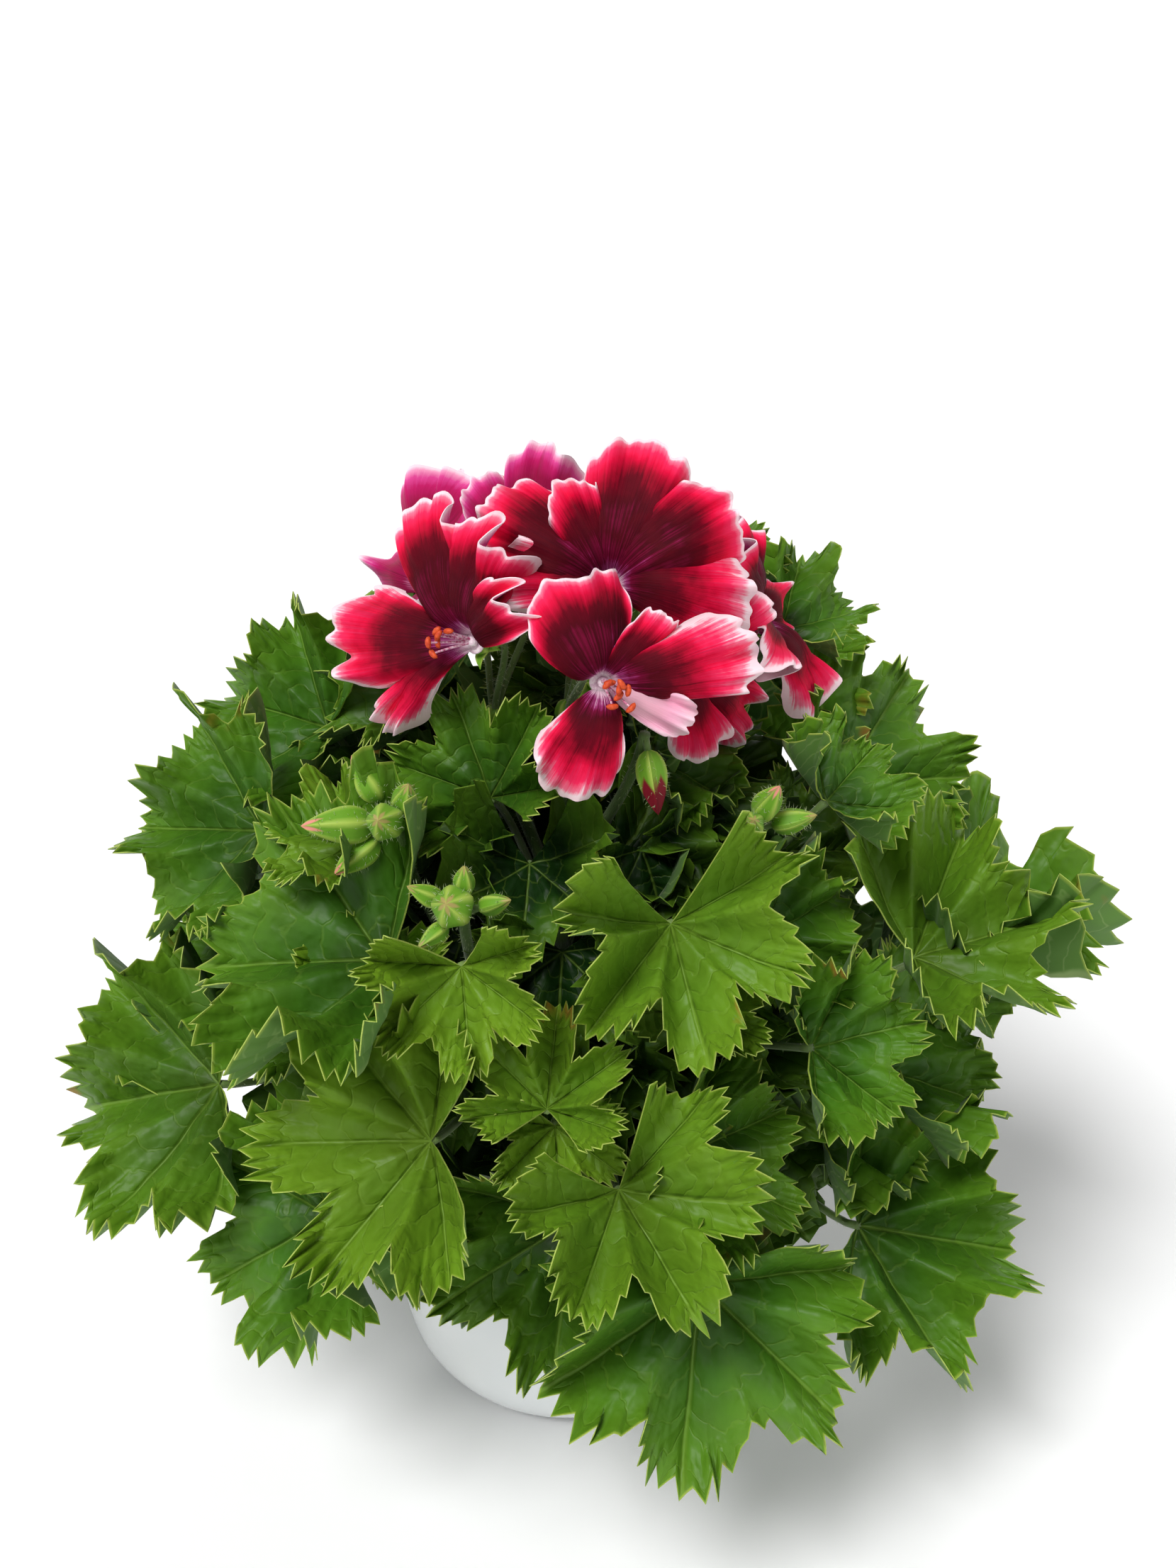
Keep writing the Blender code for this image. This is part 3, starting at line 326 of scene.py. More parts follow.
@dataclass(frozen=True)
class LeafBlade(Finish):
    """Living leaf: a waxy, slightly rough skin, puffed between sunken veins, with a thin pale margin.

    Here and there the margin has dried brown. The mesh gives two coordinates: x runs over the blade's
    whole sweep, and y from the hub to the margin. The tone's red is brightness made of painted light
    and shade with a random part, and its green youth.
    """

    name: str = "leaf_blade"
    ior: float = 1.42
    roughness: float = 0.47
    gloss: float = 0.3
    dark: str = "#0E2A05"
    mid: str = "#396C14"
    young: str = "#86A826"
    vein: str = "#7F9E3C"
    margin: str = "#A9BC4C"
    dry: str = "#9A6A2C"
    vein_strength: float = 0.3
    relief: float = 0.75
    depth_mm: float = 0.9
    pucker_mm: float = 2.6  # size of the blisters between the finest veins
    side_veins: float = 7.0  # pairs of them along a lobe
    wobble_scale: float = 110.0  # side veins waver every 9 mm
    patch_scale: float = 90.0  # patches 11 mm across
    spot_scale: float = 42.0  # dry places about 24 mm apart

    def paint(self, tree: bpy.types.NodeTree) -> tuple[Source, Source | None]:
        """Draws main veins, side veins, blisters and the margin from the blade's coordinates, and
        paints shade and light from them and from the tone.

        Args:
            tree: The material's node tree.

        Returns:
            What gives the colour, and what gives the relief's height if there is any.
        """
        blade = put(tree, "UVMap", uv_map="blade")
        place = put(tree, "TexCoord").outputs["Object"]
        parts = put(tree, "SeparateXYZ", (blade,)).outputs
        tone = put(tree, "Attribute", attribute_name="tone")
        shares = put(tree, "SeparateColor", (tone,)).outputs

        # A main vein runs up each lobe, and side veins leave it at an angle
        off_vein = parts["X"]
        for operation, value in (("MULTIPLY", 2.0 * HALF_SWEEP / LOBE_STEP),
                                 ("ADD", -HALF_SWEEP / LOBE_STEP), ("PINGPONG", 0.5)):
            off_vein = put(tree, "Math", (off_vein, value), operation=operation)
        beside = put(tree, "Math", (off_vein, parts["Y"]), operation="MULTIPLY")
        main_vein = put(tree, "MapRange", (beside, 0.004, 0.024, 1.0, 0.0),
                        interpolation_type="SMOOTHSTEP")
        wobble = put(tree, "TexNoise", {"Vector": place, "Scale": self.wobble_scale, "Detail": 2.0})
        shift = put(tree, "MapRange", (wobble, 0.0, 1.0, -0.12, 0.12))
        off_side = beside
        for operation, value in (("MULTIPLY", -0.85), ("ADD", parts["Y"]), ("ADD", shift),
                                 ("MULTIPLY", self.side_veins), ("PINGPONG", 0.5)):
            off_side = put(tree, "Math", (off_side, value), operation=operation)
        side_vein = put(tree, "MapRange", (off_side, 0.01, 0.09, 0.4, 0.0),
                        interpolation_type="SMOOTHSTEP")
        veins = put(tree, "Math", (main_vein, side_vein), operation="MAXIMUM")

        # How far each of the paler colours covers the ones before it, with painted shade and painted
        # light in the shares
        patch = put(tree, "TexNoise", {"Vector": place, "Scale": self.patch_scale, "Detail": 4.0})
        # Painted shade: the blade is darker towards its hub and lighter towards its margin. This is
        # added to random patches and to the leaf's painted brightness from its tone
        outer = put(tree, "MapRange", (parts["Y"], 0.0, 1.0, -0.55, 0.34))
        depth = patch
        for operation, value in (("ADD", -0.5), ("MULTIPLY", 0.9), ("ADD", shares["Red"]),
                                 ("ADD", outer)):
            depth = put(tree, "Math", (depth, value), operation=operation)
        # Painted light towards the margin is added to the leaf's real youth, and together they mix in
        # the young yellow-green
        light = put(tree, "MapRange", (parts["Y"], 0.45, 1.0, 0.0, 0.22))
        light = put(tree, "Math", (shares["Green"], light), operation="ADD")
        weight = put(tree, "Math", (veins, self.vein_strength), operation="MULTIPLY")
        edge = put(tree, "MapRange", (parts["Y"], 0.985, 0.998, 0.0, 0.6))
        # The pale margin fades out on leaves that their painted brightness puts in painted shade
        exposed = put(tree, "MapRange", (shares["Red"], 0.15, 0.5, 0.0, 1.0))
        edge = put(tree, "Math", (edge, exposed), operation="MULTIPLY")
        spots = put(tree, "TexNoise", {"Vector": place, "Scale": self.spot_scale, "Detail": 3.0})
        spots = put(tree, "MapRange", (spots, 0.66, 0.72, 0.0, 0.75))
        rim_part = put(tree, "MapRange", (parts["Y"], 0.86, 0.97, 0.0, 1.0))
        spots = put(tree, "Math", (spots, rim_part), operation="MULTIPLY")
        colour = linear(self.dark)
        for factor, hue in ((depth, self.mid), (light, self.young), (weight, self.vein),
                            (edge, self.margin), (spots, self.dry)):
            colour = put(tree, "Mix", {"Factor": factor, MIX_A: colour, MIX_B: linear(hue)},
                         data_type="RGBA")

        # The skin dips at the veins and puffs up between them
        blisters = put(tree, "TexVoronoi", {"Vector": place, "Scale": 1.0 / (self.pucker_mm * MM)},
                       feature="SMOOTH_F1")
        dip = put(tree, "Math", (veins, -0.5), operation="MULTIPLY")
        puff = put(tree, "Math", (blisters, -0.35), operation="MULTIPLY")
        quilt = put(tree, "MapRange", (off_side, 0.0, 0.5, 0.0, 0.45), interpolation_type="SMOOTHSTEP")
        for more in (puff, quilt):
            dip = put(tree, "Math", (dip, more), operation="ADD")
        return colour, dip


@dataclass(frozen=True)
class LeafUnderside(LeafBlade):
    """The same leaf from below: paler, greyer and matt with down, its veins standing out."""

    name: str = "leaf_underside"
    roughness: float = 0.62
    sheen: float = 0.05
    dark: str = "#2A4A1A"
    mid: str = "#4A742F"
    young: str = "#7A9E44"
    vein: str = "#93AC68"
    vein_strength: float = 0.8
    relief: float = -0.7  # turned round: what sinks in above stands out below


@dataclass(frozen=True)
class GreenStem(Finish):
    """Young green stem and stalk: downy skin with fine ridges along it, brown and woody at the foot.

    The tone's green is how fresh it is and its blue how woody.
    """

    name: str = "green_stem"
    roughness: float = 0.5
    sheen: float = 0.3
    relief: float = 0.35
    depth_mm: float = 0.2
    patch_scale: float = 160.0  # patches 6 mm across
    green: str = "#48702A"
    dark: str = "#28421A"
    fresh: str = "#7F9C48"
    woody: str = "#54452C"

    def paint(self, tree: bpy.types.NodeTree) -> tuple[Source, Source | None]:
        """Mixes fresh green, shade and wood by the tone, with fine ridges.

        Args:
            tree: The material's node tree.

        Returns:
            What gives the colour, and what gives the relief's height if there is any.
        """
        blade = put(tree, "UVMap", uv_map="blade")
        place = put(tree, "TexCoord").outputs["Object"]
        patch = put(tree, "TexNoise", {"Vector": place, "Scale": self.patch_scale, "Detail": 4.0})
        tone = put(tree, "Attribute", attribute_name="tone")
        shares = put(tree, "SeparateColor", (tone,)).outputs
        colour = linear(self.dark)
        for factor, hue in ((patch, self.green), (shares["Green"], self.fresh),
                            (shares["Blue"], self.woody)):
            colour = put(tree, "Mix", {"Factor": factor, MIX_A: colour, MIX_B: linear(hue)},
                         data_type="RGBA")
        ridges = put(tree, "TexWave", {"Vector": blade, "Scale": 2.0, "Distortion": 0.6},
                     wave_type="BANDS", bands_direction="X")
        return colour, ridges.outputs["Fac"]


@dataclass(frozen=True)
class BudSkin(Finish):
    """Closed sepals round a bud: fresh green with pale ribs and down, and pink or red at the tip.

    The mesh gives x round the bud and y from its foot to its tip. The tone's red is how much petal
    shows at the tip, its green how far the bud has opened and its blue how dark the petals are.
    """

    name: str = "bud_skin"
    roughness: float = 0.5
    gloss: float = 0.3
    sheen: float = 0.05
    relief: float = 0.6
    depth_mm: float = 0.5
    green: str = "#689A24"
    rib: str = "#B4C85A"
    petal: str = "#E98F86"
    dark_petal: str = "#7A0A20"

    def paint(self, tree: bpy.types.NodeTree) -> tuple[Source, Source | None]:
        """Draws the sepals' ribs and the petals' tip.

        Args:
            tree: The material's node tree.

        Returns:
            What gives the colour, and what gives the relief's height if there is any.
        """
        blade = put(tree, "UVMap", uv_map="blade")
        parts = put(tree, "SeparateXYZ", (blade,)).outputs
        sepal = put(tree, "Math", (parts["X"], float(SEPALS)), operation="MULTIPLY")
        off_rib = put(tree, "Math", (sepal, 0.5), operation="PINGPONG")
        rib = put(tree, "MapRange", (off_rib, 0.0, 0.3, 0.75, 0.0))
        green = put(tree, "Mix", {"Factor": rib, MIX_A: linear(self.green), MIX_B: linear(self.rib)},
                    data_type="RGBA")
        tone = put(tree, "Attribute", attribute_name="tone")
        shares = put(tree, "SeparateColor", (tone,)).outputs
        start = put(tree, "Math", (off_rib, -0.5), operation="MULTIPLY")
        start = put(tree, "Math", (start, 1.0), operation="ADD")
        start = put(tree, "Math", (parts["Y"], start), operation="SUBTRACT")
        opened = put(tree, "Math", (shares["Green"], 0.6), operation="MULTIPLY")
        start = put(tree, "Math", (start, opened), operation="ADD")
        shown = put(tree, "MapRange", (start, -0.04, 0.05, 0.0, 1.0))
        shown = put(tree, "Math", (shown, shares["Red"]), operation="MULTIPLY")
        petal = put(tree, "Mix", {"Factor": shares["Blue"], MIX_A: linear(self.petal),
                                  MIX_B: linear(self.dark_petal)}, data_type="RGBA")
        tipped = put(tree, "Mix", {"Factor": shown, MIX_A: green, MIX_B: petal}, data_type="RGBA")
        return tipped, rib


@dataclass(frozen=True)
class PetalFace(Finish):
    """Velvety upper side of a petal: a black-red blotch that feathers out along the veins into scarlet.

    It ends in a frilled white-pink margin. The mesh gives x across the petal and y from claw to margin.
    The tone's red is the blotch's reach, its green how bleached the petal is, and its blue its streaks.
    """

    name: str = "petal_face"
    ior: float = 1.38
    roughness: float = 0.65
    gloss: float = 0.12
    relief: float = 0.5
    depth_mm: float = 0.4
    cloud_scale: float = 140.0  # clouds 7 mm across
    streaks: tuple = (42.0, 9.0, 1.0)  # how many over a petal's breadth, and from petal to petal
    streak: str = "#2A0210"
    bleached: str = "#F7C9D8"
    colours: tuple = (
        (0.0, "#F6ECEE"), (0.09, "#E6BFD2"), (0.14, "#A03A78"), (0.21, "#6E0830"), (0.36, "#480210"),
        (0.55, "#640218"), (0.66, "#A40628"), (0.77, "#DA0C3C"), (0.88, "#F02C5C"), (0.945, "#F67896"),
        (0.972, "#FBDCE4"),
    )

    def paint(self, tree: bpy.types.NodeTree) -> tuple[Source, Source | None]:
        """Runs the colours from claw to margin, feathered by veins that fan out.

        Args:
            tree: The material's node tree.

        Returns:
            What gives the colour, and what gives the relief's height if there is any.
        """
        blade = put(tree, "UVMap", uv_map="blade")
        place = put(tree, "TexCoord").outputs["Object"]
        parts = put(tree, "SeparateXYZ", (blade,)).outputs
        tone = put(tree, "Attribute", attribute_name="tone")
        shares = put(tree, "SeparateColor", (tone,)).outputs

        # Fine streaks fan out from the claw and feather the borders between the colours
        fan = put(tree, "CombineXYZ", {"X": parts["X"], "Y": shares["Blue"], "Z": 0.0})
        fan = put(tree, "Mapping", {"Vector": fan, "Scale": self.streaks})
        streak = put(tree, "TexNoise", {"Vector": fan, "Scale": 1.0, "Detail": 3.0, "Roughness": 0.65},
                     noise_dimensions="2D")
        cloud = put(tree, "TexNoise", {"Vector": place, "Scale": self.cloud_scale, "Detail": 4.0})
        feather = put(tree, "Math", (streak, cloud), operation="ADD")
        feather = put(tree, "Math", (feather, -1.0), operation="ADD")
        middle = put(tree, "Math", (parts["Y"], 1.0), operation="SUBTRACT")
        middle = put(tree, "Math", (middle, parts["Y"]), operation="MULTIPLY")
        feather = put(tree, "Math", (feather, middle), operation="MULTIPLY")

        # The blotch reaches farther in some petals, and the side margins are as pale as the outer one
        blade_part = put(tree, "MapRange", (parts["Y"], 0.25, 0.6, 0.0, 1.0))
        reach = put(tree, "Math", (shares["Red"], 2.0, -1.0), operation="MULTIPLY_ADD")
        reach = put(tree, "Math", (reach, middle), operation="MULTIPLY")
        reach = put(tree, "Math", (reach, blade_part), operation="MULTIPLY")
        side = put(tree, "Math", (parts["X"], 2.0, -1.0), operation="MULTIPLY_ADD")
        side = put(tree, "Math", (side,), operation="ABSOLUTE")
        side = put(tree, "Math", (side, 6.0), operation="POWER")
        side = put(tree, "Math", (side, 1.2), operation="MULTIPLY", use_clamp=True)
        side = put(tree, "Math", (side, blade_part), operation="MULTIPLY")
        left = put(tree, "Math", (1.0, parts["Y"]), operation="SUBTRACT")
        rounded = put(tree, "Math", (side, left, parts["Y"]), operation="MULTIPLY_ADD")
        along = put(tree, "Math", (feather, -1.7), operation="MULTIPLY")
        along = put(tree, "Math", (along, rounded), operation="ADD")
        along = put(tree, "Math", (along, reach), operation="ADD")

        # Dark veins cross the colours and fade towards the margin
        lines = put(tree, "MapRange", (streak, 0.5, 0.62, 0.0, 0.45))
        faded = put(tree, "MapRange", (parts["Y"], 0.55, 0.92, 1.0, 0.0))
        lines = put(tree, "Math", (lines, faded), operation="MULTIPLY")
        colour = put(tree, "ValToRGB", (along,), stops=self.colours)
        for factor, hue in ((lines, self.streak), (shares["Green"], self.bleached)):
            colour = put(tree, "Mix", {"Factor": factor, MIX_A: colour, MIX_B: linear(hue)},
                         data_type="RGBA")
        return colour, streak


@dataclass(frozen=True)
class PetalBack(PetalFace):
    """Underside of a petal: pale silky pink with magenta veins, the face's colour showing through."""

    name: str = "petal_back"
    roughness: float = 0.6
    sheen: float = 0.05
    colours: tuple = (
        (0.0, "#EBD3DC"), (0.12, "#C77BA0"), (0.3, "#8E0A44"), (0.5, "#960A40"), (0.72, "#BC1862"),
        (0.84, "#D84490"), (0.93, "#F09CC0"), (0.975, "#F9DDE8"),
    )


@dataclass(frozen=True)
class PlainTissue(Finish):
    """Small soft plant parts, such as anthers, filaments and hairs: matt, with a little mottling."""

    name: str = "tissue"
    roughness: float = 0.6
    first: str = "#D9531F"
    second: str = "#B8330F"
    grain_scale: float = 1200.0  # grain of 0.8 mm, far coarser than pollen, so that it shows

    def paint(self, tree: bpy.types.NodeTree) -> tuple[Source, Source | None]:
        """Mottles two near colours.

        Args:
            tree: The material's node tree.

        Returns:
            What gives the colour, and what gives the relief's height if there is any.
        """
        place = put(tree, "TexCoord").outputs["Object"]
        grain = put(tree, "TexNoise", {"Vector": place, "Scale": self.grain_scale, "Detail": 3.0})
        tone = put(tree, "ValToRGB", (grain,), stops=((0.35, self.first), (0.65, self.second)))
        return tone, None


class Stuff(Enum):
    """The finishes, in the order in which a plant piece lists them."""

    BLADE = LeafBlade()
    UNDERSIDE = LeafUnderside()
    STEM = GreenStem()
    BUD = BudSkin()
    FACE = PetalFace()
    BACK = PetalBack()
    THROAT = PlainTissue("throat_tissue", first="#F2E6E8", second="#D9B5C8")
    FILAMENT = PlainTissue("filament", first="#E9C9D6", second="#B5306E")
    ANTHER = PlainTissue("anther")
    HAIR = PlainTissue("plant_hair", first="#CDD8AE", second="#B4C68C")
    RIM = PlainTissue("leaf_rim", first="#A6B852", second="#8EA544")
    POT = GlazedStoneware()
    SOIL = PottingSoil()

    def material(self) -> bpy.types.Material:
        """Gives the finish's material, made once."""
        name = self.value.name
        return bpy.data.materials.get(name) or self.value.make()


# Mesh drafts

ROD_TURN, ROD_STEP = 4.0, 10.0  # a rod's coordinates: x at a whole turn, and the millimetres for 1 of y
HAIR_WIDTH = 0.07  # wider than real down, so that single hairs show


class Draft:
    """Gathers grids, tubes and turned shapes, and makes one mesh of them.

    Every point carries two blade coordinates and a tone, and every face the finish that it wears.
    """

    def __init__(self) -> None:
        """Starts empty."""
        self.points: list[np.ndarray] = []
        self.coords: list[np.ndarray] = []
        self.tones: list[np.ndarray] = []
        self.lips: list[np.ndarray] = []
        self.faces: list[tuple[np.ndarray, Stuff]] = []
        self.count = 0

    def add(self, points: np.ndarray, coords: np.ndarray, tone: tuple, faces: list,
            lip: np.ndarray | None = None) -> None:
        """Adds one shape.

        Args:
            points: Places in millimetres, one a row.
            coords: Two blade coordinates of each point.
            tone: Three shares between 0 and 1, or a row of them for each point.
            faces: Pairs of a face array, with rows of 3 or 4 of the shape's points, and its finish.
            lip: A number for each point: edges between two points of one number above 0 are kept sharp.
        """
        total = len(points)
        self.points.append(points * MM)
        self.coords.append(coords)
        self.tones.append(np.broadcast_to(np.asarray(tone, dtype=float), (total, 3)))
        self.lips.append(np.zeros(total, dtype=int) if lip is None else lip)
        for rows, stuff in faces:
            self.faces.append((rows + self.count, stuff))
        self.count += total

    def build(self, name: str) -> bpy.types.Object:
        """Makes the mesh object, smooth shaded.

        Args:
            name: The piece's name.

        Returns:
            The object, linked to the scene.
        """
        stuffs = [s for s in Stuff if any(s is stuff for _, stuff in self.faces)]
        loops = np.concatenate([rows.ravel() for rows, _ in self.faces])
        sizes = np.concatenate([np.full(len(rows), rows.shape[1]) for rows, _ in self.faces])
        slots = np.concatenate([np.full(len(rows), stuffs.index(stuff)) for rows, stuff in self.faces])
        mesh = bpy.data.meshes.new(name)
        mesh.vertices.add(self.count)
        mesh.vertices.foreach_set("co", np.concatenate(self.points).ravel())
        mesh.loops.add(len(loops))
        mesh.loops.foreach_set("vertex_index", loops)
        mesh.polygons.add(len(sizes))
        mesh.polygons.foreach_set("loop_start", np.concatenate(([0], np.cumsum(sizes)[:-1])))
        mesh.update(calc_edges=True)
        mesh.polygons.foreach_set("material_index", slots)
        mesh.polygons.foreach_set("use_smooth", np.ones(len(sizes), dtype=bool))
        coords = np.concatenate(self.coords)[loops]
        mesh.uv_layers.new(name="blade").data.foreach_set("uv", coords.ravel())
        tones = np.ones((self.count, 4))
        tones[:, :3] = np.concatenate(self.tones)
        mesh.attributes.new("tone", "FLOAT_COLOR", "POINT").data.foreach_set("color", tones.ravel())
        ends = np.empty(len(mesh.edges) * 2, dtype=int)
        mesh.edges.foreach_get("vertices", ends)
        lip = np.concatenate(self.lips)[ends.reshape(-1, 2)]
        mesh.edges.foreach_set("use_edge_sharp", (lip[:, 0] > 0) & (lip[:, 0] == lip[:, 1]))
        for stuff in stuffs:
            mesh.materials.append(stuff.material())
        mesh.validate()
        piece = bpy.data.objects.new(name, mesh)
        bpy.context.scene.collection.objects.link(piece)
        return piece


def add_sheet(draft: Draft, grid: np.ndarray, coords: np.ndarray, tone: tuple, thickness: float,
              stuffs: tuple, towards: np.ndarray) -> None:
    """Adds a thin closed blade or petal round a grid of points.

    Args:
        draft: Where it goes.
        grid: Rows from the foot to the margin, by columns, by three.
        coords: The same grid's blade coordinates.
        tone: Its tone.
        thickness: In millimetres, thinning a little at the margin.
        stuffs: Finishes of the upper side, the underside and the rim.
        towards: The way the upper side looks.
    """
    rows, columns = grid.shape[:2]
    along = np.gradient(grid, axis=0)
    across = np.gradient(grid, axis=1)
    normals = unit(np.cross(along, across))
    flip = np.sum(normals @ towards) < 0.0
    if flip:
        normals = -normals
    half = thickness * 0.5 * np.linspace(1.0, 0.6, rows)[:, None, None]
    upper, under = (grid + normals * half).reshape(-1, 3), (grid - normals * half).reshape(-1, 3)
    index = np.arange(rows * columns).reshape(rows, columns)
    a, b, c, d = index[:-1, :-1], index[1:, :-1], index[1:, 1:], index[:-1, 1:]
    quads = np.stack([a, b, c, d], axis=-1).reshape(-1, 4)
    total = rows * columns
    ring = np.concatenate([index[0, :], index[1:, -1], index[-1, -2::-1], index[-2:0:-1, 0]])
    after = np.roll(ring, -1)
    rim = np.stack([ring, after, after + total, ring + total], axis=-1)
    lip = np.zeros(2 * total, dtype=int)
    lip[ring], lip[ring + total] = 1, 2
    back = quads[:, ::-1] + total
    if flip:
        quads, back, rim = quads[:, ::-1], back[:, ::-1], rim[:, ::-1]
    flat = coords.reshape(-1, 2)
    draft.add(np.concatenate([upper, under]), np.concatenate([flat, flat]), tone,
              [(quads, stuffs[0]), (back, stuffs[1]), (rim, stuffs[2])], lip)


def band(count: int, sides: int) -> tuple[np.ndarray, np.ndarray, np.ndarray]:
    """Numbers the points of rings and joins each ring to the next.

    Args:
        count: Number of rings.
        sides: Points on each ring.

    Returns:
        The point numbers by ring, the same moved on by one point, and the faces between rings.
    """
    index = np.arange(count * sides).reshape(count, sides)
    after = np.roll(index, -1, axis=1)
    quads = np.stack([index[:-1], after[:-1], after[1:], index[1:]], axis=-1)
    return index, after, quads.reshape(-1, 4)


def circle(side: np.ndarray, other: np.ndarray, turns: np.ndarray) -> np.ndarray:
    """Sets out a circle of radius 1 between two square unit vectors, one point a row."""
    return np.outer(np.cos(turns), side) + np.outer(np.sin(turns), other)


def dome(width: float, height: float, count: int) -> np.ndarray:
    """Gives the profile of a round knob: radius and height of each point, from its foot up."""
    angles = np.linspace(-math.pi / 2.0, math.pi / 2.0, count)
    return np.stack([width * np.cos(angles), height * np.sin(angles)], axis=-1)


def add_tube(draft: Draft, line: np.ndarray, radii: np.ndarray | float, sides: int, stuff: Stuff,
             tone: tuple | np.ndarray = PLAIN) -> None:
    """Adds a round rod with closed ends along a line.

    Args:
        draft: Where it goes.
        line: Centre points in millimetres, one a row.
        radii: Radius at each point.
        sides: Number of sides.
        stuff: Its finish.
        tone: Its tone, or one for each centre point.
    """
    count = len(line)
    radii = np.broadcast_to(np.asarray(radii, dtype=float), (count,))
    ways = unit(np.gradient(line, axis=0))
    side = square_to(ways[0])
    turns = np.arange(sides) * 2.0 * math.pi / sides
    rings = []
    for i in range(count):
        side = unit(side - ways[i] * np.dot(side, ways[i]))
        rings.append(line[i] + radii[i] * circle(side, np.cross(ways[i], side), turns))
    points = np.concatenate(rings + [line[:1], line[-1:]])
    index, after, quads = band(count, sides)
    foot, head = count * sides, count * sides + 1
    caps = np.concatenate([
        np.stack([np.full(sides, foot), after[0], index[0]], axis=-1),
        np.stack([np.full(sides, head), index[-1], after[-1]], axis=-1)])
    lengths = np.concatenate(([0.0], np.cumsum(np.linalg.norm(np.diff(line, axis=0), axis=1))))
    coords = np.stack([
        np.concatenate([np.tile(np.arange(sides) * ROD_TURN / sides, count), (0.0, 0.0)]),
        np.concatenate([np.repeat(lengths / ROD_STEP, sides), (0.0, lengths[-1] / ROD_STEP)])], axis=-1)
    tones = np.asarray(tone, dtype=float)
    if tones.ndim == 2:
        tones = np.concatenate([np.repeat(tones, sides, axis=0), tones[:1], tones[-1:]])
    draft.add(points, coords, tones, [(quads, stuff), (caps, stuff)])


def add_turned(draft: Draft, origin: np.ndarray, axis: np.ndarray, profile: np.ndarray, sides: int,
               stuff: Stuff, tone: tuple = PLAIN, ribs: float = 0.0, rib_count: int = SEPALS) -> None:
    """Adds a shape turned round an axis, closed where its profile starts and ends on the axis.

    Args:
        draft: Where it goes.
        origin: Foot of the axis.
        axis: Unit vector along it.
        profile: Radius and height of each point, up the outer side.
        sides: Number of sides.
        stuff: Its finish.
        tone: Its tone.
        ribs: Share by which the radius swells at each rib.
        rib_count: Number of ribs.
    """
    side = square_to(axis)
    turns = np.arange(sides) * 2.0 * math.pi / sides
    swell = 1.0 + ribs * np.cos(rib_count * turns)
    ring = swell[:, None] * circle(side, np.cross(axis, side), turns)
    rings = [origin + axis * z + r * ring for r, z in profile]
    count = len(profile)
    quads = band(count, sides)[2]
    heights = profile[:, 1] - profile[:, 1].min()
    coords = np.stack([np.tile(turns / (2.0 * math.pi), count),
                       np.repeat(heights / max(heights.max(), 1e-6), sides)], axis=-1)
    draft.add(np.concatenate(rings), coords, tone, [(quads, stuff)])


def add_hairs(draft: Draft, roots: np.ndarray, ways: np.ndarray, length: float,
              rng: np.random.Generator) -> None:
    """Adds fine hairs: each a spike of three sides, bent a little to one side.

    Args:
        draft: Where they go.
        roots: Where each stands, one a row.
        ways: The way each stands out.
        length: Their usual length in millimetres.
        rng: Seeded source of small differences.
    """
    count = len(roots)
    ways = unit(ways + rng.normal(0.0, 0.28, (count, 3)))
    side = any_way(ways, count, rng)
    other = np.cross(ways, side) * HAIR_WIDTH
    tall = length * rng.uniform(0.6, 1.25, (count, 1))
    back = roots - side * HAIR_WIDTH * 0.5
    spikes = (roots + side * HAIR_WIDTH, back + other, back - other, roots + ways * tall)
    points = np.stack(spikes, axis=1).reshape(-1, 3)
    first = np.arange(count)[:, None] * len(spikes)
    faces = np.concatenate([first + row for row in ((0, 1, 3), (1, 2, 3), (2, 0, 3), (0, 2, 1))])
    draft.add(points, np.zeros((len(points), 2)), PLAIN, [(faces, Stuff.HAIR)])


def hairs_on_line(draft: Draft, line: np.ndarray, radius: float, count: int, length: float,
                  rng: np.random.Generator) -> None:
    """Stands hairs round a rod.

    Args:
        draft: Where they go.
        line: The rod's centre points.
        radius: The rod's radius.
        count: Number of hairs.
        length: Their usual length.
        rng: Seeded source of their places.
    """
    place = rng.uniform(0.0, len(line) - 1.001, count)
    low = place.astype(int)
    share = (place - low)[:, None]
    centres = line[low] * (1.0 - share) + line[low + 1] * share
    along = unit(line[low + 1] - line[low])
    out = any_way(along, count, rng)
    add_hairs(draft, centres + out * radius * 0.9, out, length, rng)


# Leaves

LOBE_ANGLES = (-100.0, -50.0, 0.0, 50.0, 100.0)
OUTLINE_ANGLES = (-HALF_SWEEP, *LOBE_ANGLES, HALF_SWEEP)
OUTLINE_REACH = (0.5, 0.76, 0.93, 1.0, 0.93, 0.76, 0.5)
NOTCH_POWER = 5.0
CANOPY_REACH, CANOPY_MIDDLE, CANOPY_TOP, CANOPY_POWER = 103.0, 130.0, 248.0, 2.6
SOIL_TOP, SOIL_CROWN = 95.0, 4.0


def canopy_radius(height: float) -> float:
    """Gives how far the canopy's surface is from the axis.

    Args:
        height: Millimetres above the floor.

    Returns:
        The distance in millimetres.
    """
    rise = CANOPY_TOP - CANOPY_MIDDLE if height > CANOPY_MIDDLE else CANOPY_MIDDLE
    share = min(abs(height - CANOPY_MIDDLE) / rise, 1.0)
    return CANOPY_REACH * math.sqrt(max(0.0, 1.0 - share**CANOPY_POWER))


@dataclass(frozen=True)
class LeafDetail:
    """How finely a blade is made: its rows, the tooth tips of a lobe and those of the two end lobes."""

    rows: tuple
    tips: tuple
    end_tips: tuple


OUTER_DETAIL = LeafDetail(
    (0.0, 0.12, 0.25, 0.38, 0.51, 0.63, 0.74, 0.83, 0.91, 0.96, 1.0),
    (0.0, 0.11, 0.2, 0.31, 0.42, 0.58, 0.69, 0.8, 0.89),
    (0.0, 0.22, 0.48, 0.7, 0.92))
INNER_DETAIL = LeafDetail((0.0, 0.25, 0.5, 0.72, 0.88, 1.0), (0.0, 0.2, 0.4, 0.6, 0.8), (0.0, 0.4, 0.8))


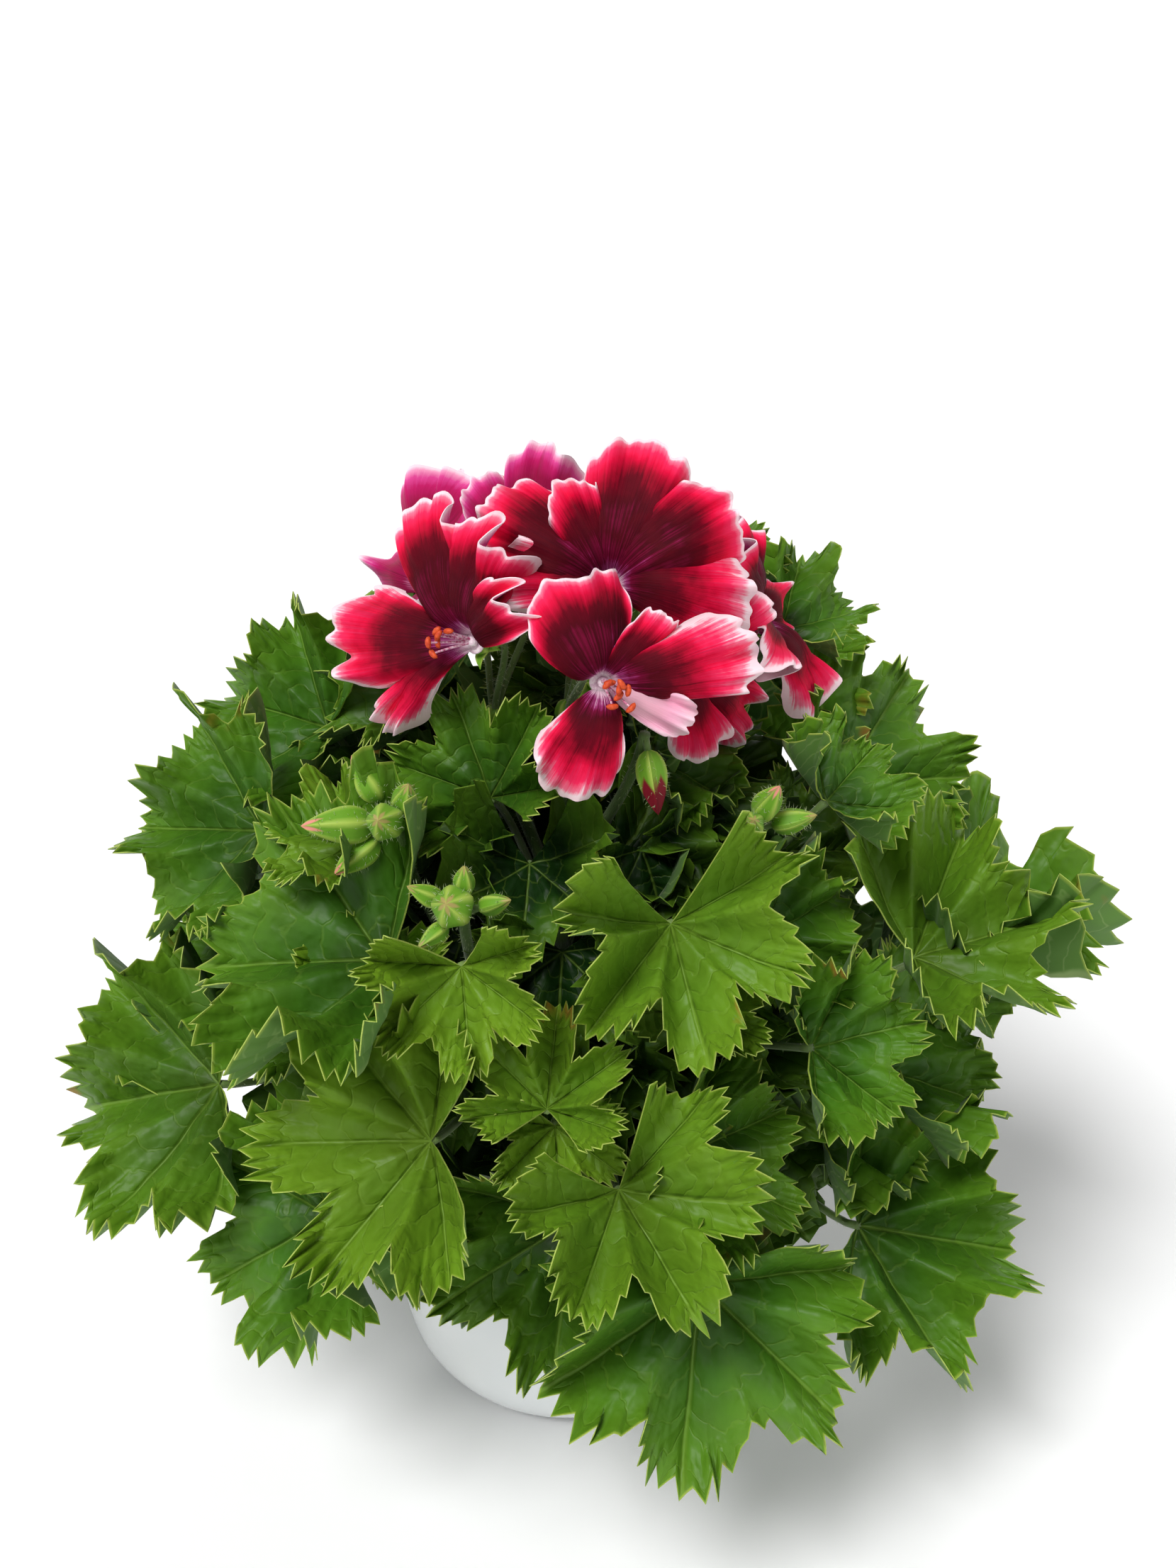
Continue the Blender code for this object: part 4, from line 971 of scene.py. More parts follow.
@dataclass(frozen=True)
class Leaf:
    """A leaf: its hub on the canopy, the way it looks, its size, cup and notches."""

    bearing: float
    height: float
    out: float
    size: float
    looks: tuple
    turn: float
    cup: float = 0.3
    cut: float = 0.24
    droop: float = 0.12

    thickness: float = field(default=0.5, init=False)

    # Heights and depths as shares of the leaf's size
    tooth_depth: float = field(default=0.125, init=False)
    fold: float = field(default=0.13, init=False)
    crumple: float = field(default=0.022, init=False)
    waves: int = field(default=9, init=False)
    wave_height: float = field(default=0.135, init=False)
    lobe_curl: tuple = field(default=(-0.11, 0.13), init=False)
    lobe_lean: tuple = field(default=(-0.13, 0.13), init=False)
    frill: float = field(default=0.042, init=False)

    def inner(self) -> bool:
        """Tells whether the leaf stands inside the canopy."""
        return self.out <= INNER_OUT

    def detail(self) -> LeafDetail:
        """Gives how finely the leaf is made."""
        return INNER_DETAIL if self.inner() else OUTER_DETAIL

    def seed(self) -> int:
        """Gives the leaf's own seed."""
        return int(abs(self.bearing) * 131 + self.height * 17 + self.size)

    def axes(self) -> tuple[np.ndarray, np.ndarray, np.ndarray, np.ndarray]:
        """Places the leaf.

        Returns:
            Its hub, the way of its middle lobe, its side and its upper normal.
        """
        normal = bearing_vector(*self.looks)
        downhill = bearing_vector(self.looks[0], self.looks[1] - 90.0)
        tip = turned_about(downhill, normal, self.turn)
        hub = bearing_vector(self.bearing) * (canopy_radius(self.height) + self.out)
        hub[2] = self.height
        return hub, tip, np.cross(normal, tip), normal

    def outline(self, angles: np.ndarray) -> np.ndarray:
        """Gives the share of the size that the outline reaches, without teeth.

        Args:
            angles: Degrees from the middle lobe.

        Returns:
            The shares.
        """
        reach = np.interp(angles, OUTLINE_ANGLES, OUTLINE_REACH)
        share = np.mod(angles + END_LOBE, LOBE_STEP) / LOBE_STEP
        notch = 1.0 - self.cut * np.maximum(0.0, np.sin(math.pi * share)) ** NOTCH_POWER
        return reach * np.where(np.abs(angles) < END_LOBE, notch, 1.0)

    def teeth(self, rng: np.random.Generator) -> tuple[np.ndarray, np.ndarray]:
        """Sets out the margin's teeth.

        Args:
            rng: Seeded source of their small differences.

        Returns:
            The angles of all tips and valleys in order, and the depth below the outline at each.
        """
        detail, end = self.detail(), HALF_SWEEP - END_LOBE
        tips = [end * (1.0 - s) - HALF_SWEEP for s in detail.end_tips[:0:-1]]
        for low in LOBE_ANGLES[:-1]:
            tips += [low + LOBE_STEP * s for s in detail.tips]
        tips += [END_LOBE + end * s for s in detail.end_tips]
        tips = np.array(tips) + rng.uniform(-1.3, 1.3, len(tips))
        valleys = tips[:-1] + (tips[1:] - tips[:-1]) * rng.uniform(0.35, 0.65, len(tips) - 1)
        knots = np.empty(len(tips) + len(valleys) + 2)
        knots[0], knots[-1] = -HALF_SWEEP, HALF_SWEEP
        knots[1:-1:2], knots[2:-1:2] = tips, valleys
        depths = np.empty(len(knots))
        depths[0] = depths[-1] = self.tooth_depth * 0.6
        depths[1:-1:2] = rng.uniform(-0.03, 0.03, len(tips))
        depths[2:-1:2] = self.tooth_depth * rng.uniform(0.5, 1.2, len(valleys))
        return knots, depths

    def grid(self) -> tuple[np.ndarray, np.ndarray]:
        """Shapes the blade's middle surface.

        Returns:
            The grid of points in millimetres and their blade coordinates.
        """
        rng = np.random.default_rng(self.seed())
        knots, depths = self.teeth(rng)
        angles, depth = knots, depths
        if not self.inner():
            angles = np.sort(np.concatenate([knots, (knots[1:] + knots[:-1]) / 2.0]))
            depth = np.interp(angles, knots, depths)
            depth[1::2] += 0.04 * np.abs(np.diff(depths))
        relief = np.interp(angles, knots, np.where(depths > self.tooth_depth * 0.4, 1.0, -1.0))
        phase = math.radians(61.0 * self.bearing + 47.0 * self.height)
        share = np.array(self.detail().rows)[:, None]
        turn = np.radians(angles)[None, :]

        # How far each point is from the hub: the lobes, with teeth near the margin only
        toothed = depth[None, :] * smooth_step(0.7, 1.0, share)
        reach = self.size * self.outline(angles)[None, :] * (1.0 - toothed) * share

        # Its height over the flat: the cup, folds along the veins, crumples and waves
        sideways = np.sin(turn / 2.0) ** 2
        height = self.cup * (0.59 + 1.5 * sideways) * share**1.5
        height += 0.12 * np.sin(turn) ** 2 * share**1.3
        off_vein = np.abs(np.sin(math.pi * angles[None, :] / LOBE_STEP))
        height += self.fold * (2.0 * off_vein - 1.1) * share**1.15
        lengthwise = np.sin(14.0 * share * np.cos(turn) + phase)
        crosswise = np.sin(13.0 * share * np.sin(turn) + 2.0 * phase)
        height += self.crumple * lengthwise * crosswise
        height += self.wave_height * np.sin(self.waves * turn + phase) * share**3
        height -= self.droop * np.maximum(0.0, np.cos(turn)) * share**2
        height += 0.03 * np.sin(2.0 * turn + 2.0 * phase) * share**2

        # Each lobe curls and leans in its own way, and the margin is frilled
        curl = np.interp(angles, LOBE_ANGLES, rng.uniform(*self.lobe_curl, len(LOBE_ANGLES)))
        lean = np.interp(angles, LOBE_ANGLES, rng.uniform(*self.lobe_lean, len(LOBE_ANGLES)))
        if (self.bearing, self.height) not in STILL_LEAVES:
            height += curl * share**2.5
            height += lean * np.sin(2.0 * math.pi * angles / LOBE_STEP) * share**1.5
        ruffle = self.frill * np.sin(17.0 * turn + 3.0 * phase) * (1.0 + 0.6 * np.sin(4.0 * turn))
        height += (0.014 * relief[None, :] + ruffle + 0.06) * share**5

        hub, tip, side, normal = self.axes()
        grid = (hub + (reach * np.cos(turn))[..., None] * tip + (reach * np.sin(turn))[..., None] * side
                + (self.size * height)[..., None] * normal)
        across = angles[None, :] / (2.0 * HALF_SWEEP) + 0.5
        return grid, np.stack(np.broadcast_arrays(across, share), axis=-1)

    def tone(self) -> tuple[float, float, float]:
        """Gives the leaf's tone, with painted light and shade: it is darker low down, deep inside and
        at the back.

        Returns:
            Its brightness, which is painted light and shade with a random part, its youth and 0.
        """
        # Leaves inside the canopy get painted shade: a low brightness
        if self.inner():
            return 0.2, 0.0, 0.0
        rng = np.random.default_rng(self.seed() + 5)
        front = 0.5 + 0.5 * math.cos(math.radians(self.bearing))
        deep = min(1.0, max(0.0, -self.out / 30.0))
        low = min(1.0, max(0.0, (132.0 - self.height) / 50.0))
        # Painted light and shade: brighter at the front, darker deep inside the canopy and low down,
        # with a random part
        painted_light_and_tone = 0.68 + 0.25 * front - 0.5 * deep - 0.35 * low + rng.uniform(-0.22, 0.22)
        return painted_light_and_tone, YOUNG_LEAVES.get((self.bearing, self.height), 0.04), 0.0

    def build(self, draft: Draft) -> None:
        """Adds the blade.

        Args:
            draft: The shoot's draft.
        """
        grid, coords = self.grid()
        # Leaves inside the canopy, in painted shade, keep the blade's colour at the rim instead of the
        # pale rim
        rim = Stuff.BLADE if self.inner() else Stuff.RIM
        add_sheet(draft, grid, coords, self.tone(), self.thickness,
                  (Stuff.BLADE, Stuff.UNDERSIDE, rim), self.axes()[3])


# Small leaves inside the canopy, darkened with painted shade, which stand this far inside the canopy's
# surface or farther
INNER_OUT = -26.0

# Rows of them: of each its height, size, first bearing, step and number
INNER_ROWS = (
    (112, 34, -160, 24, 15),
    (132, 38, -170, 24, 15),
    (154, 38, -164, 25, 14),
    (176, 36, -178, 26, 14),
    (198, 34, -168, 28, 13),
    (218, 30, 30, 26, 12),
    (236, 30, 100, 40, 5),
)

# Leaves that lie close to a neighbour and keep their lobes level, by bearing and height
STILL_LEAVES = ((-35, 190), (-23, 142), (-1, 168))

# Share of fresh yellow-green of the young leaves, by bearing and height
YOUNG_LEAVES = {
    (21, 218): 0.3, (-16, 214): 0.45, (-18, 170): 0.35, (-2, 178): 0.35, (-35, 190): 0.3,
    (-46, 229): 0.3, (8, 157): 0.3, (-1, 168): 0.45, (24, 190): 0.25, (-70, 136): 0.12,
    (70, 181): 0.22, (-23, 142): 0.05,
}


@dataclass(frozen=True)
class Shoot:
    """A stem that stands in the soil, and the leaves on it."""

    root: tuple
    crown: tuple
    leaves: tuple

    stem_radius: float = field(default=3.4, init=False)
    petiole_radius: float = field(default=1.15, init=False)
    petiole_hairs: tuple = field(default=(46, 1.1), init=False)  # their number and length

    def stem_point(self, height: float) -> np.ndarray:
        """Follows the stem's centre line.

        Args:
            height: Millimetres above the floor.

        Returns:
            The line's point at that height.
        """
        start = bearing_vector(self.root[0]) * self.root[1]
        start[2] = SOIL_TOP
        top = bearing_vector(self.crown[0]) * self.crown[1]
        top[2] = self.crown[2]
        share = (height - SOIL_TOP) / (top[2] - SOIL_TOP)
        if share <= 0.0:
            return np.array((start[0], start[1], height))
        bow = share * share
        line = start + (top - start) * bow
        line[2] = height
        return line

    def petiole(self, leaf: Leaf, count: int = 14) -> np.ndarray:
        """Runs the centre line of a leaf's stalk.

        Args:
            leaf: The leaf.
            count: Number of points.

        Returns:
            The points from the stem to the leaf's hub.
        """
        hub, tip, _, normal = leaf.axes()
        heights = sorted(each.height for each in self.leaves)
        rank = heights.index(leaf.height) / (len(heights) - 1)
        lowest, highest = SOIL_TOP + 11.0, self.crown[2] - 3.0
        base = self.stem_point(lowest + (highest - lowest) * rank)
        base = base + unit(np.array((hub[0] - base[0], hub[1] - base[1], 0.0))) * 1.2
        span = np.linalg.norm(hub - base)
        leave = (unit(hub - base) + UP) * 0.62 * span
        arrive = (tip * 0.12 + normal) * 0.75 * span
        return curve_between(base, leave, hub + normal * 0.05, arrive, count)

    def build(self, draft: Draft, rng: np.random.Generator) -> None:
        """Adds the stem, every leaf and its stalk to the shoot's draft.

        Args:
            draft: The shoot's draft.
            rng: Seeded source of hairs and small differences.
        """
        heights = np.concatenate(([SOIL_TOP - 6.0], np.linspace(SOIL_TOP, self.crown[2], 16)))
        line = np.array([self.stem_point(h) for h in heights])
        share = np.clip((heights - SOIL_TOP) / (self.crown[2] - SOIL_TOP), 0.0, 1.0)
        radii = self.stem_radius * (1.0 - 0.25 * share) * (1.0 + 0.05 * np.sin(heights * 1.7))
        tones = np.stack([np.full(len(share), 0.5), 0.2 * share, 0.85 * (1.0 - share) ** 2], axis=-1)
        add_tube(draft, line, radii, 14, Stuff.STEM, tones)
        for leaf in self.leaves:
            leaf.build(draft)
            stalk = self.petiole(leaf)
            ends = np.linspace(0.0, 1.0, len(stalk))
            radii = self.petiole_radius * (1.25 - 0.35 * ends + 0.25 * ends**12)
            youth = min(1.0, 0.25 + leaf.tone()[1])
            add_tube(draft, stalk, radii, 8, Stuff.STEM, (0.5, youth, 0.1))
            hairs_on_line(draft, stalk, self.petiole_radius, *self.petiole_hairs, rng)

    def nearness(self, leaf: Leaf) -> float:
        """Gives how far a leaf's bearing is from the shoot's, in degrees."""
        return abs((leaf.bearing - self.crown[0] + 180.0) % 360.0 - 180.0)

    def inner_leaf(self, draft: Draft, leaf: Leaf) -> None:
        """Adds a small leaf inside the canopy, darkened with painted shade, on a short stalk.

        Args:
            draft: The shoot's draft.
            leaf: The leaf.
        """
        leaf.build(draft)
        hub, tip, _, normal = leaf.axes()
        base = self.stem_point((leaf.height + SOIL_TOP) / 2.0)
        span = np.linalg.norm(hub - base)
        leave = (unit(hub - base) + UP) * 0.5 * span
        line = curve_between(base, leave, hub, (tip * 0.1 + normal) * 0.6 * span, 8)
        add_tube(draft, line, self.petiole_radius * 0.9, 6, Stuff.STEM)


# Flowers

TURNED_AWAY = ("bloom_left_back", "bloom_top_left")  # their petals are folded back, undersides out
ROLLED_CURL = 0.8  # from this hollow up a petal is rolled in and shows its pale underside
SEAT_GAP = 0.3  # between a throat and the calyx under it or the stamens on it
PETAL_ROWS = (0.01, 0.07, 0.15, 0.25, 0.35, 0.45, 0.55, 0.65, 0.74, 0.82, 0.88, 0.93, 0.97, 1.0)


@dataclass(frozen=True)
class Petal:
    """A petal: its place round the bloom's axis, length, breadth, opening, curl and ruffle."""

    around: float
    length: float
    breadth: float = 1.0
    opening: float = 80.0
    curl: float = 0.0
    ruffle: float = 0.07

    thickness: float = field(default=0.45, init=False)
    spread: float = field(default=52.0, init=False)
    rise: float = field(default=12.0, init=False)
    twist: float = field(default=0.2, init=False)
    waves: float = field(default=4.2, init=False)
    claw_start: float = field(default=2.3, init=False)
    claw_half_width: float = field(default=0.9, init=False)
    claw_sink: float = field(default=0.9, init=False)
    columns: int = field(default=69, init=False)

    # Heights and depths as shares of the petal's length
    frill: float = field(default=0.115, init=False)
    fine_frill: float = field(default=0.06, init=False)
    scallop: float = field(default=0.022, init=False)
    nick: float = field(default=0.013, init=False)
    droop: float = field(default=0.07, init=False)

    def grid(self, bloom: "Bloom") -> tuple[np.ndarray, np.ndarray, np.ndarray]:
        """Shapes the petal's middle surface.

        Args:
            bloom: The bloom that it belongs to.

        Returns:
            The grid in millimetres, its blade coordinates, and the way its face looks.
        """
        phase = math.radians(7.0 * self.around + 60.0 * bloom.throat[0])
        rng = np.random.default_rng(int(abs(self.around) * 7 + abs(bloom.throat[0]) * 31 + self.length))
        axis, top, side = bloom.axes()
        around = math.radians(self.around + bloom.roll)
        out = top * math.cos(around) + side * math.sin(around)
        across_way = np.cross(axis, out)
        share = np.array(PETAL_ROWS)[:, None]
        place = np.linspace(-1.0, 1.0, self.columns)[None, :]
        turn = np.radians(self.spread * self.breadth * place * (1.15 - 0.35 * share))

        # How far each point is from the claw: a round end with a scalloped, nicked margin
        ends = rng.uniform(0.0, 2.0 * math.pi, 2)
        nicks = np.sin(21.0 * place + ends[0]) + 0.7 * np.sin(33.0 * place + ends[1])
        scallops = self.nick * nicks + self.scallop * np.sin(14.0 * place + 1.7 * phase + 0.8)
        reach = self.length * share * (1.0 - 0.26 * place**2 - 0.14 * place**8)
        reach = reach * (1.0 + scallops * share**7)
        along, beside = reach * np.cos(turn), reach * np.sin(turn)

        # It rises from the claw and then leans out, and it is hollow, ruffled and frilled
        start, end = math.radians(self.rise), math.radians(self.opening)
        bend = start + (end - start) * np.minimum(1.0, 1.6 * share)
        lean = 0.5 * (start + bend) + 0.5 * (bend - start) * share
        hollow = self.curl * beside * beside / self.length + self.twist * beside
        hollow += self.ruffle * self.length * np.sin(self.waves * place + phase) * share**3
        frill = self.frill * np.sin(6.5 * place + 2.3 * phase) * share**3
        frill += self.fine_frill * np.sin(14.0 * place + 1.7 * phase) * share**5
        hollow += frill * (1.0 + 0.4 * np.sin(2.6 * place + phase)) * self.length
        hollow -= self.droop * self.length * share**9

        forward = along * np.cos(lean) + hollow * np.sin(lean)
        outward = self.claw_start + along * np.sin(lean) - hollow * np.cos(lean)
        beside = beside + self.claw_half_width * place
        grid = (np.array(bloom.throat) + axis * (forward - self.claw_sink)[..., None]
                + out * outward[..., None] + across_way * beside[..., None])
        coords = np.stack(np.broadcast_arrays(place * 0.5 + 0.5, share), axis=-1)
        middle = 0.5 * (start + end)
        return grid, coords, axis * math.sin(middle) - out * math.cos(middle)

    def build(self, draft: Draft, bloom: "Bloom") -> None:
        """Adds the petal.

        Args:
            draft: The bloom's draft.
            bloom: The bloom that it belongs to.
        """
        rng = np.random.default_rng(int(abs(self.around) * 11 + self.length * 3))
        upper = math.cos(math.radians(self.around)) > 0.35
        blotch = (0.95 if upper else 0.38) + rng.uniform(-0.12, 0.12)
        rolled = self.curl >= ROLLED_CURL and bloom.name in STAMENS and self.around > 0.0
        grid, coords, face = self.grid(bloom)
        turned = rolled or bloom.name in TURNED_AWAY
        sides = (Stuff.BACK, Stuff.FACE) if turned else (Stuff.FACE, Stuff.BACK)
        tone = (blotch, 0.6 if rolled else 0.0, rng.uniform(0.0, 1.0))
        add_sheet(draft, grid, coords, tone, self.thickness, (*sides, Stuff.BACK), face)


@dataclass(frozen=True)
class Bloom:
    """One flower: its throat, the way it looks, its roll and its petals."""

    name: str
    throat: tuple
    looks: tuple
    roll: float
    petals: tuple

    throat_radius: float = field(default=3.4, init=False)
    throat_thick: float = field(default=1.6, init=False)
    calyx_length: float = field(default=9.0, init=False)
    calyx_hairs: int = field(default=90, init=False)
    stamen_length: float = field(default=13.0, init=False)
    anther_length: float = field(default=3.2, init=False)

    def axes(self) -> tuple[np.ndarray, np.ndarray, np.ndarray]:
        """Places the bloom.

        Returns:
            The way it looks, its top, and its right-hand side as seen from in front of it.
        """
        axis = bearing_vector(*self.looks)
        top = bearing_vector(self.looks[0], self.looks[1] + 90.0)
        return axis, top, np.cross(top, axis)

    def build(self, draft: Draft) -> None:
        """Adds the throat and the petals.

        Args:
            draft: The bloom's draft.
        """
        radius, low = self.throat_radius, -self.throat_thick
        profile = np.array(((0.0, low), (radius * 0.7, low), (radius, -0.4), (radius * 0.95, 0.0),
                            (2.0, -0.3), (0.0, -0.7)))
        add_turned(draft, np.array(self.throat), self.axes()[0], profile, 20, Stuff.THROAT)
        for petal in self.petals:
            petal.build(draft, self)

    def calyx(self, draft: Draft, rng: np.random.Generator) -> None:
        """Adds the receptacle and its five pointed sepals to the shoot's draft.

        Args:
            draft: The shoot's draft.
            rng: Seeded source of hairs.
        """
        axis, top, side = self.axes()
        seat = np.array(self.throat) - axis * (self.throat_thick + SEAT_GAP)
        low = -self.calyx_length
        profile = np.array(((0.0, low), (1.3, low), (1.7, -7.0), (2.4, -4.5), (3.3, -1.5), (3.6, 0.0),
                            (0.0, 0.0)))
        add_turned(draft, seat, axis, profile, 15, Stuff.BUD, SHUT, 0.05)
        for number in range(SEPALS):
            turn = math.radians(360.0 / SEPALS * number + 20.0)
            out = top * math.cos(turn) + side * math.sin(turn)
            across = np.cross(axis, out)
            share = np.linspace(0.0, 1.0, 9)[:, None]
            place = np.linspace(-1.0, 1.0, 7)[None, :]
            width = 1.7 * np.sin(math.pi * np.clip(share * 0.8 + 0.2, 0.0, 1.0)) ** 0.8 + 0.05
            grid = (seat - axis * 3.0 + out * (2.6 + 2.2 * share + 2.6 * share**3)[..., None]
                    + axis * (5.5 * share - 3.0 * share**3)[..., None]
                    + across * (width * place)[..., None] - out * (0.35 * place**2)[..., None])
            coords = np.stack(np.broadcast_arrays(place * 0.1 + 0.1 + 0.2 * number, share), axis=-1)
            add_sheet(draft, grid, coords, SHUT, 0.5, (Stuff.BUD,) * 3, axis - out)
        centres = seat + axis * rng.uniform(-8.0, 0.0, (self.calyx_hairs, 1))
        ways = any_way(axis, self.calyx_hairs, rng)
        add_hairs(draft, centres + ways * 2.2, ways, 1.6, rng)

    def stamens(self, draft: Draft, bunch: tuple) -> None:
        """Adds the pad, the filaments and the anthers.

        Args:
            draft: The stamens' draft.
            bunch: Of each: degrees round the throat, lean and share of the full length.
        """
        axis, top, side = self.axes()
        pad = np.array(self.throat) + axis * SEAT_GAP
        profile = np.array(((0.0, 0.0), (1.5, 0.0), (1.4, 1.0), (1.0, 1.6), (0.0, 1.8)))
        add_turned(draft, pad, axis, profile, 12, Stuff.THROAT)
        shorter = tuple((angle + 41.0, lean * 0.8, share * 0.84) for angle, lean, share in bunch)
        for angle, lean, share in bunch + shorter:
            turn = math.radians(angle)
            out = top * math.cos(turn) + side * math.sin(turn)
            start = pad + axis * 0.8 + out * 0.5
            length = self.stamen_length * share
            middle = start + axis * length * 0.5 + out * length * 0.15
            end = start + axis * length + out * length * lean
            arrive = (end - middle) * 1.6 + out * 1.5
            line = curve_between(start, middle - start + axis * 2.0, end, arrive, 12)
            add_tube(draft, line, np.linspace(0.42, 0.26, 12), 8, Stuff.FILAMENT)
            away = unit(end - middle)
            across = unit(np.cross(away, out)) if lean else side
            steps = np.linspace(-1.0, 1.0, 9)
            reach = steps * self.anther_length / 2.0
            shape = end + across * reach[:, None] - away * (0.5 * steps**2)[:, None]
            add_tube(draft, shape, 0.12 + 0.68 * np.sqrt(1.0 - steps**2), 10, Stuff.ANTHER)


@dataclass(frozen=True)
class Cluster:
    """A bunch of buds on one stalk of a shoot."""

    shoot: str
    base: tuple
    buds: tuple

    def bud_tone(self, length: float, radius: float) -> tuple[float, float, float]:
        """Tells how a bud looks at its tip: short ones are green, and a long slim one is opening.

        Args:
            length: The bud's length.
            radius: Its radius.

        Returns:
            How much petal shows, how far the bud has opened and how dark its petals are.
        """
        if length > 17.0 and radius < 4.0:
            return 1.0, 0.6, 1.0
        return (0.9 if length > 13.0 else 0.35), 0.0, 0.0

    def build(self, draft: Draft, rng: np.random.Generator) -> None:
        """Adds the buds, their knob and hairs to the shoot's draft.

        Args:
            draft: The shoot's draft.
            rng: Seeded source of hairs.
        """
        base = np.array(self.base)
        if len(self.buds) > 1:
            add_turned(draft, base, UP, dome(2.4, 2.4, 9), 14, Stuff.BUD, SHUT)
        for looks, away, length, radius in self.buds:
            axis = bearing_vector(*looks)
            foot = base + axis * away
            stalk = np.array((base + axis, base + axis * (away * 0.6), foot + axis * 0.8))
            add_tube(draft, stalk, 0.95, 8, Stuff.STEM, (0.5, 0.4, 0.0))
            heights = np.linspace(0.0, 1.0, 15)
            swell = np.sin(math.pi * heights**0.75) ** 0.75 * (1.0 - 0.25 * heights)
            swell = radius * 1.08 * swell / swell.max()
            swell[0] = swell[-1] = 0.0
            profile = np.stack([swell, heights * length], axis=-1)
            add_turned(draft, foot, axis, profile, 25, Stuff.BUD, self.bud_tone(length, radius), 0.07)
            count = int(14 * radius * length / 10.0)
            places = rng.uniform(0.08, 0.85, (count, 1))
            ways = any_way(axis, count, rng)
            girth = np.interp(places[:, 0], heights, swell)[:, None]
            roots = foot + axis * places * length + ways * girth * 0.95
            add_hairs(draft, roots, ways + axis * 0.4, 1.7, rng)


# The holder

@dataclass(frozen=True)
class Pot:
    """The turned pot: its rounded lip, side and foot."""

    height: float = 106.0
    rim_radius: float = 61.0
    waist: tuple = ((58.6, 70.0), (56.0, 37.0), (53.0, 19.0), (48.0, 9.0), (42.0, 3.2))
    foot_radius: float = 34.0
    wall: float = 3.0
    lip: float = 1.0  # height of the lip's round edge
    sides: int = 144

    def outer(self) -> np.ndarray:
        """Runs the outer side as a smooth curve through its named points.

        Returns:
            Radius and height of each point, from the foot to the lip.
        """
        rim = (self.rim_radius, self.height - self.lip)
        marks = [(self.foot_radius, 0.0), *reversed(self.waist), rim]
        points = np.array([marks[0], *marks, marks[-1]])
        points[0] = 2 * points[1] - points[2]
        points[-1] = 2 * points[-2] - points[-3]
        smooth = []
        for i in range(1, len(points) - 2):
            p, q, r, s = points[i - 1:i + 3]
            for t in np.linspace(0.0, 1.0, 10, endpoint=False):
                smooth.append(0.5 * (2 * q + (r - p) * t + (2 * p - 5 * q + 4 * r - s) * t * t
                                     + (3 * q - p - 3 * r + s) * t**3))
        line = np.array(smooth + [points[-2]])
        line[:, 1] = np.maximum(line[:, 1], 0.0)
        return line

    def build(self) -> bpy.types.Object:
        """Makes the pot as one closed turned wall.

        Returns:
            The pot's piece.
        """
        outer = self.outer()
        angles = np.radians(np.linspace(0.0, 180.0, 9))[1:-1]
        half = self.wall / 2.0
        lip = np.stack([self.rim_radius - half + half * np.cos(angles),
                        self.height - self.lip + self.lip * np.sin(angles)], axis=-1)
        inner = outer[::-1] - np.array((self.wall, 0.0))
        inner = inner[inner[:, 1] > self.wall + 3.0]
        floor = np.array(((40.0, self.wall + 1.0), (0.0, self.wall + 1.0)))
        foot = np.array(((0.0, 0.0), (self.foot_radius - 3.0, 0.0)))
        profile = np.concatenate([foot, outer, lip, inner, floor])
        draft = Draft()
        add_turned(draft, np.zeros(3), UP, profile, self.sides, Stuff.POT)
        return draft.build("pot_glazed")


@dataclass(frozen=True)
class Soil:
    """The soil's domed, crumbly top, closed down to its underside."""

    radius: float = 56.5
    underside: float = 60.0
    rings: int = 46
    spokes: int = 150
    seed: int = 4
    crumbs: int = 420
    crumb: tuple = ((0.0, -0.5), (1.0, 0.0), (0.8, 0.6), (0.0, 0.9))  # profile of a crumb of 1 mm

    def build(self) -> bpy.types.Object:
        """Makes the crumbly dome with loose crumbs on it.

        Returns:
            The soil's piece.
        """
        rng = np.random.default_rng(self.seed)
        draft = Draft()
        share = np.linspace(1.0, 0.0, self.rings)
        heights = SOIL_TOP + SOIL_CROWN * (1.0 - share**2) - 1.4
        profile = np.stack([share * self.radius, heights], axis=-1)
        low = np.array(((0.0, self.underside), (self.radius - 2.0, self.underside)))
        add_turned(draft, np.zeros(3), UP, np.concatenate([low, profile]), self.spokes, Stuff.SOIL)
        points = draft.points[0]
        top = points[:, 2] > (self.underside + SOIL_TOP) / 2.0 * MM
        points[top, 2] += rng.uniform(-0.5, 0.9, int(top.sum())) * MM
        for _ in range(self.crumbs):
            bearing = rng.uniform(0.0, 360.0)
            out = self.radius * 0.96 * math.sqrt(rng.uniform(0.0, 1.0))
            spot = bearing_vector(bearing) * out
            spot[2] = SOIL_TOP + SOIL_CROWN * (1.0 - (out / self.radius) ** 2) - 1.2
            ball = rng.uniform(0.5, 1.5) * np.array(self.crumb)
            axis = unit(UP + rng.normal(0.0, 0.4, 3))
            add_turned(draft, spot, axis, ball, 6, Stuff.SOIL, PLAIN, rng.uniform(0.0, 0.3), 2)
        return draft.build("soil_crumbs")


# The studio

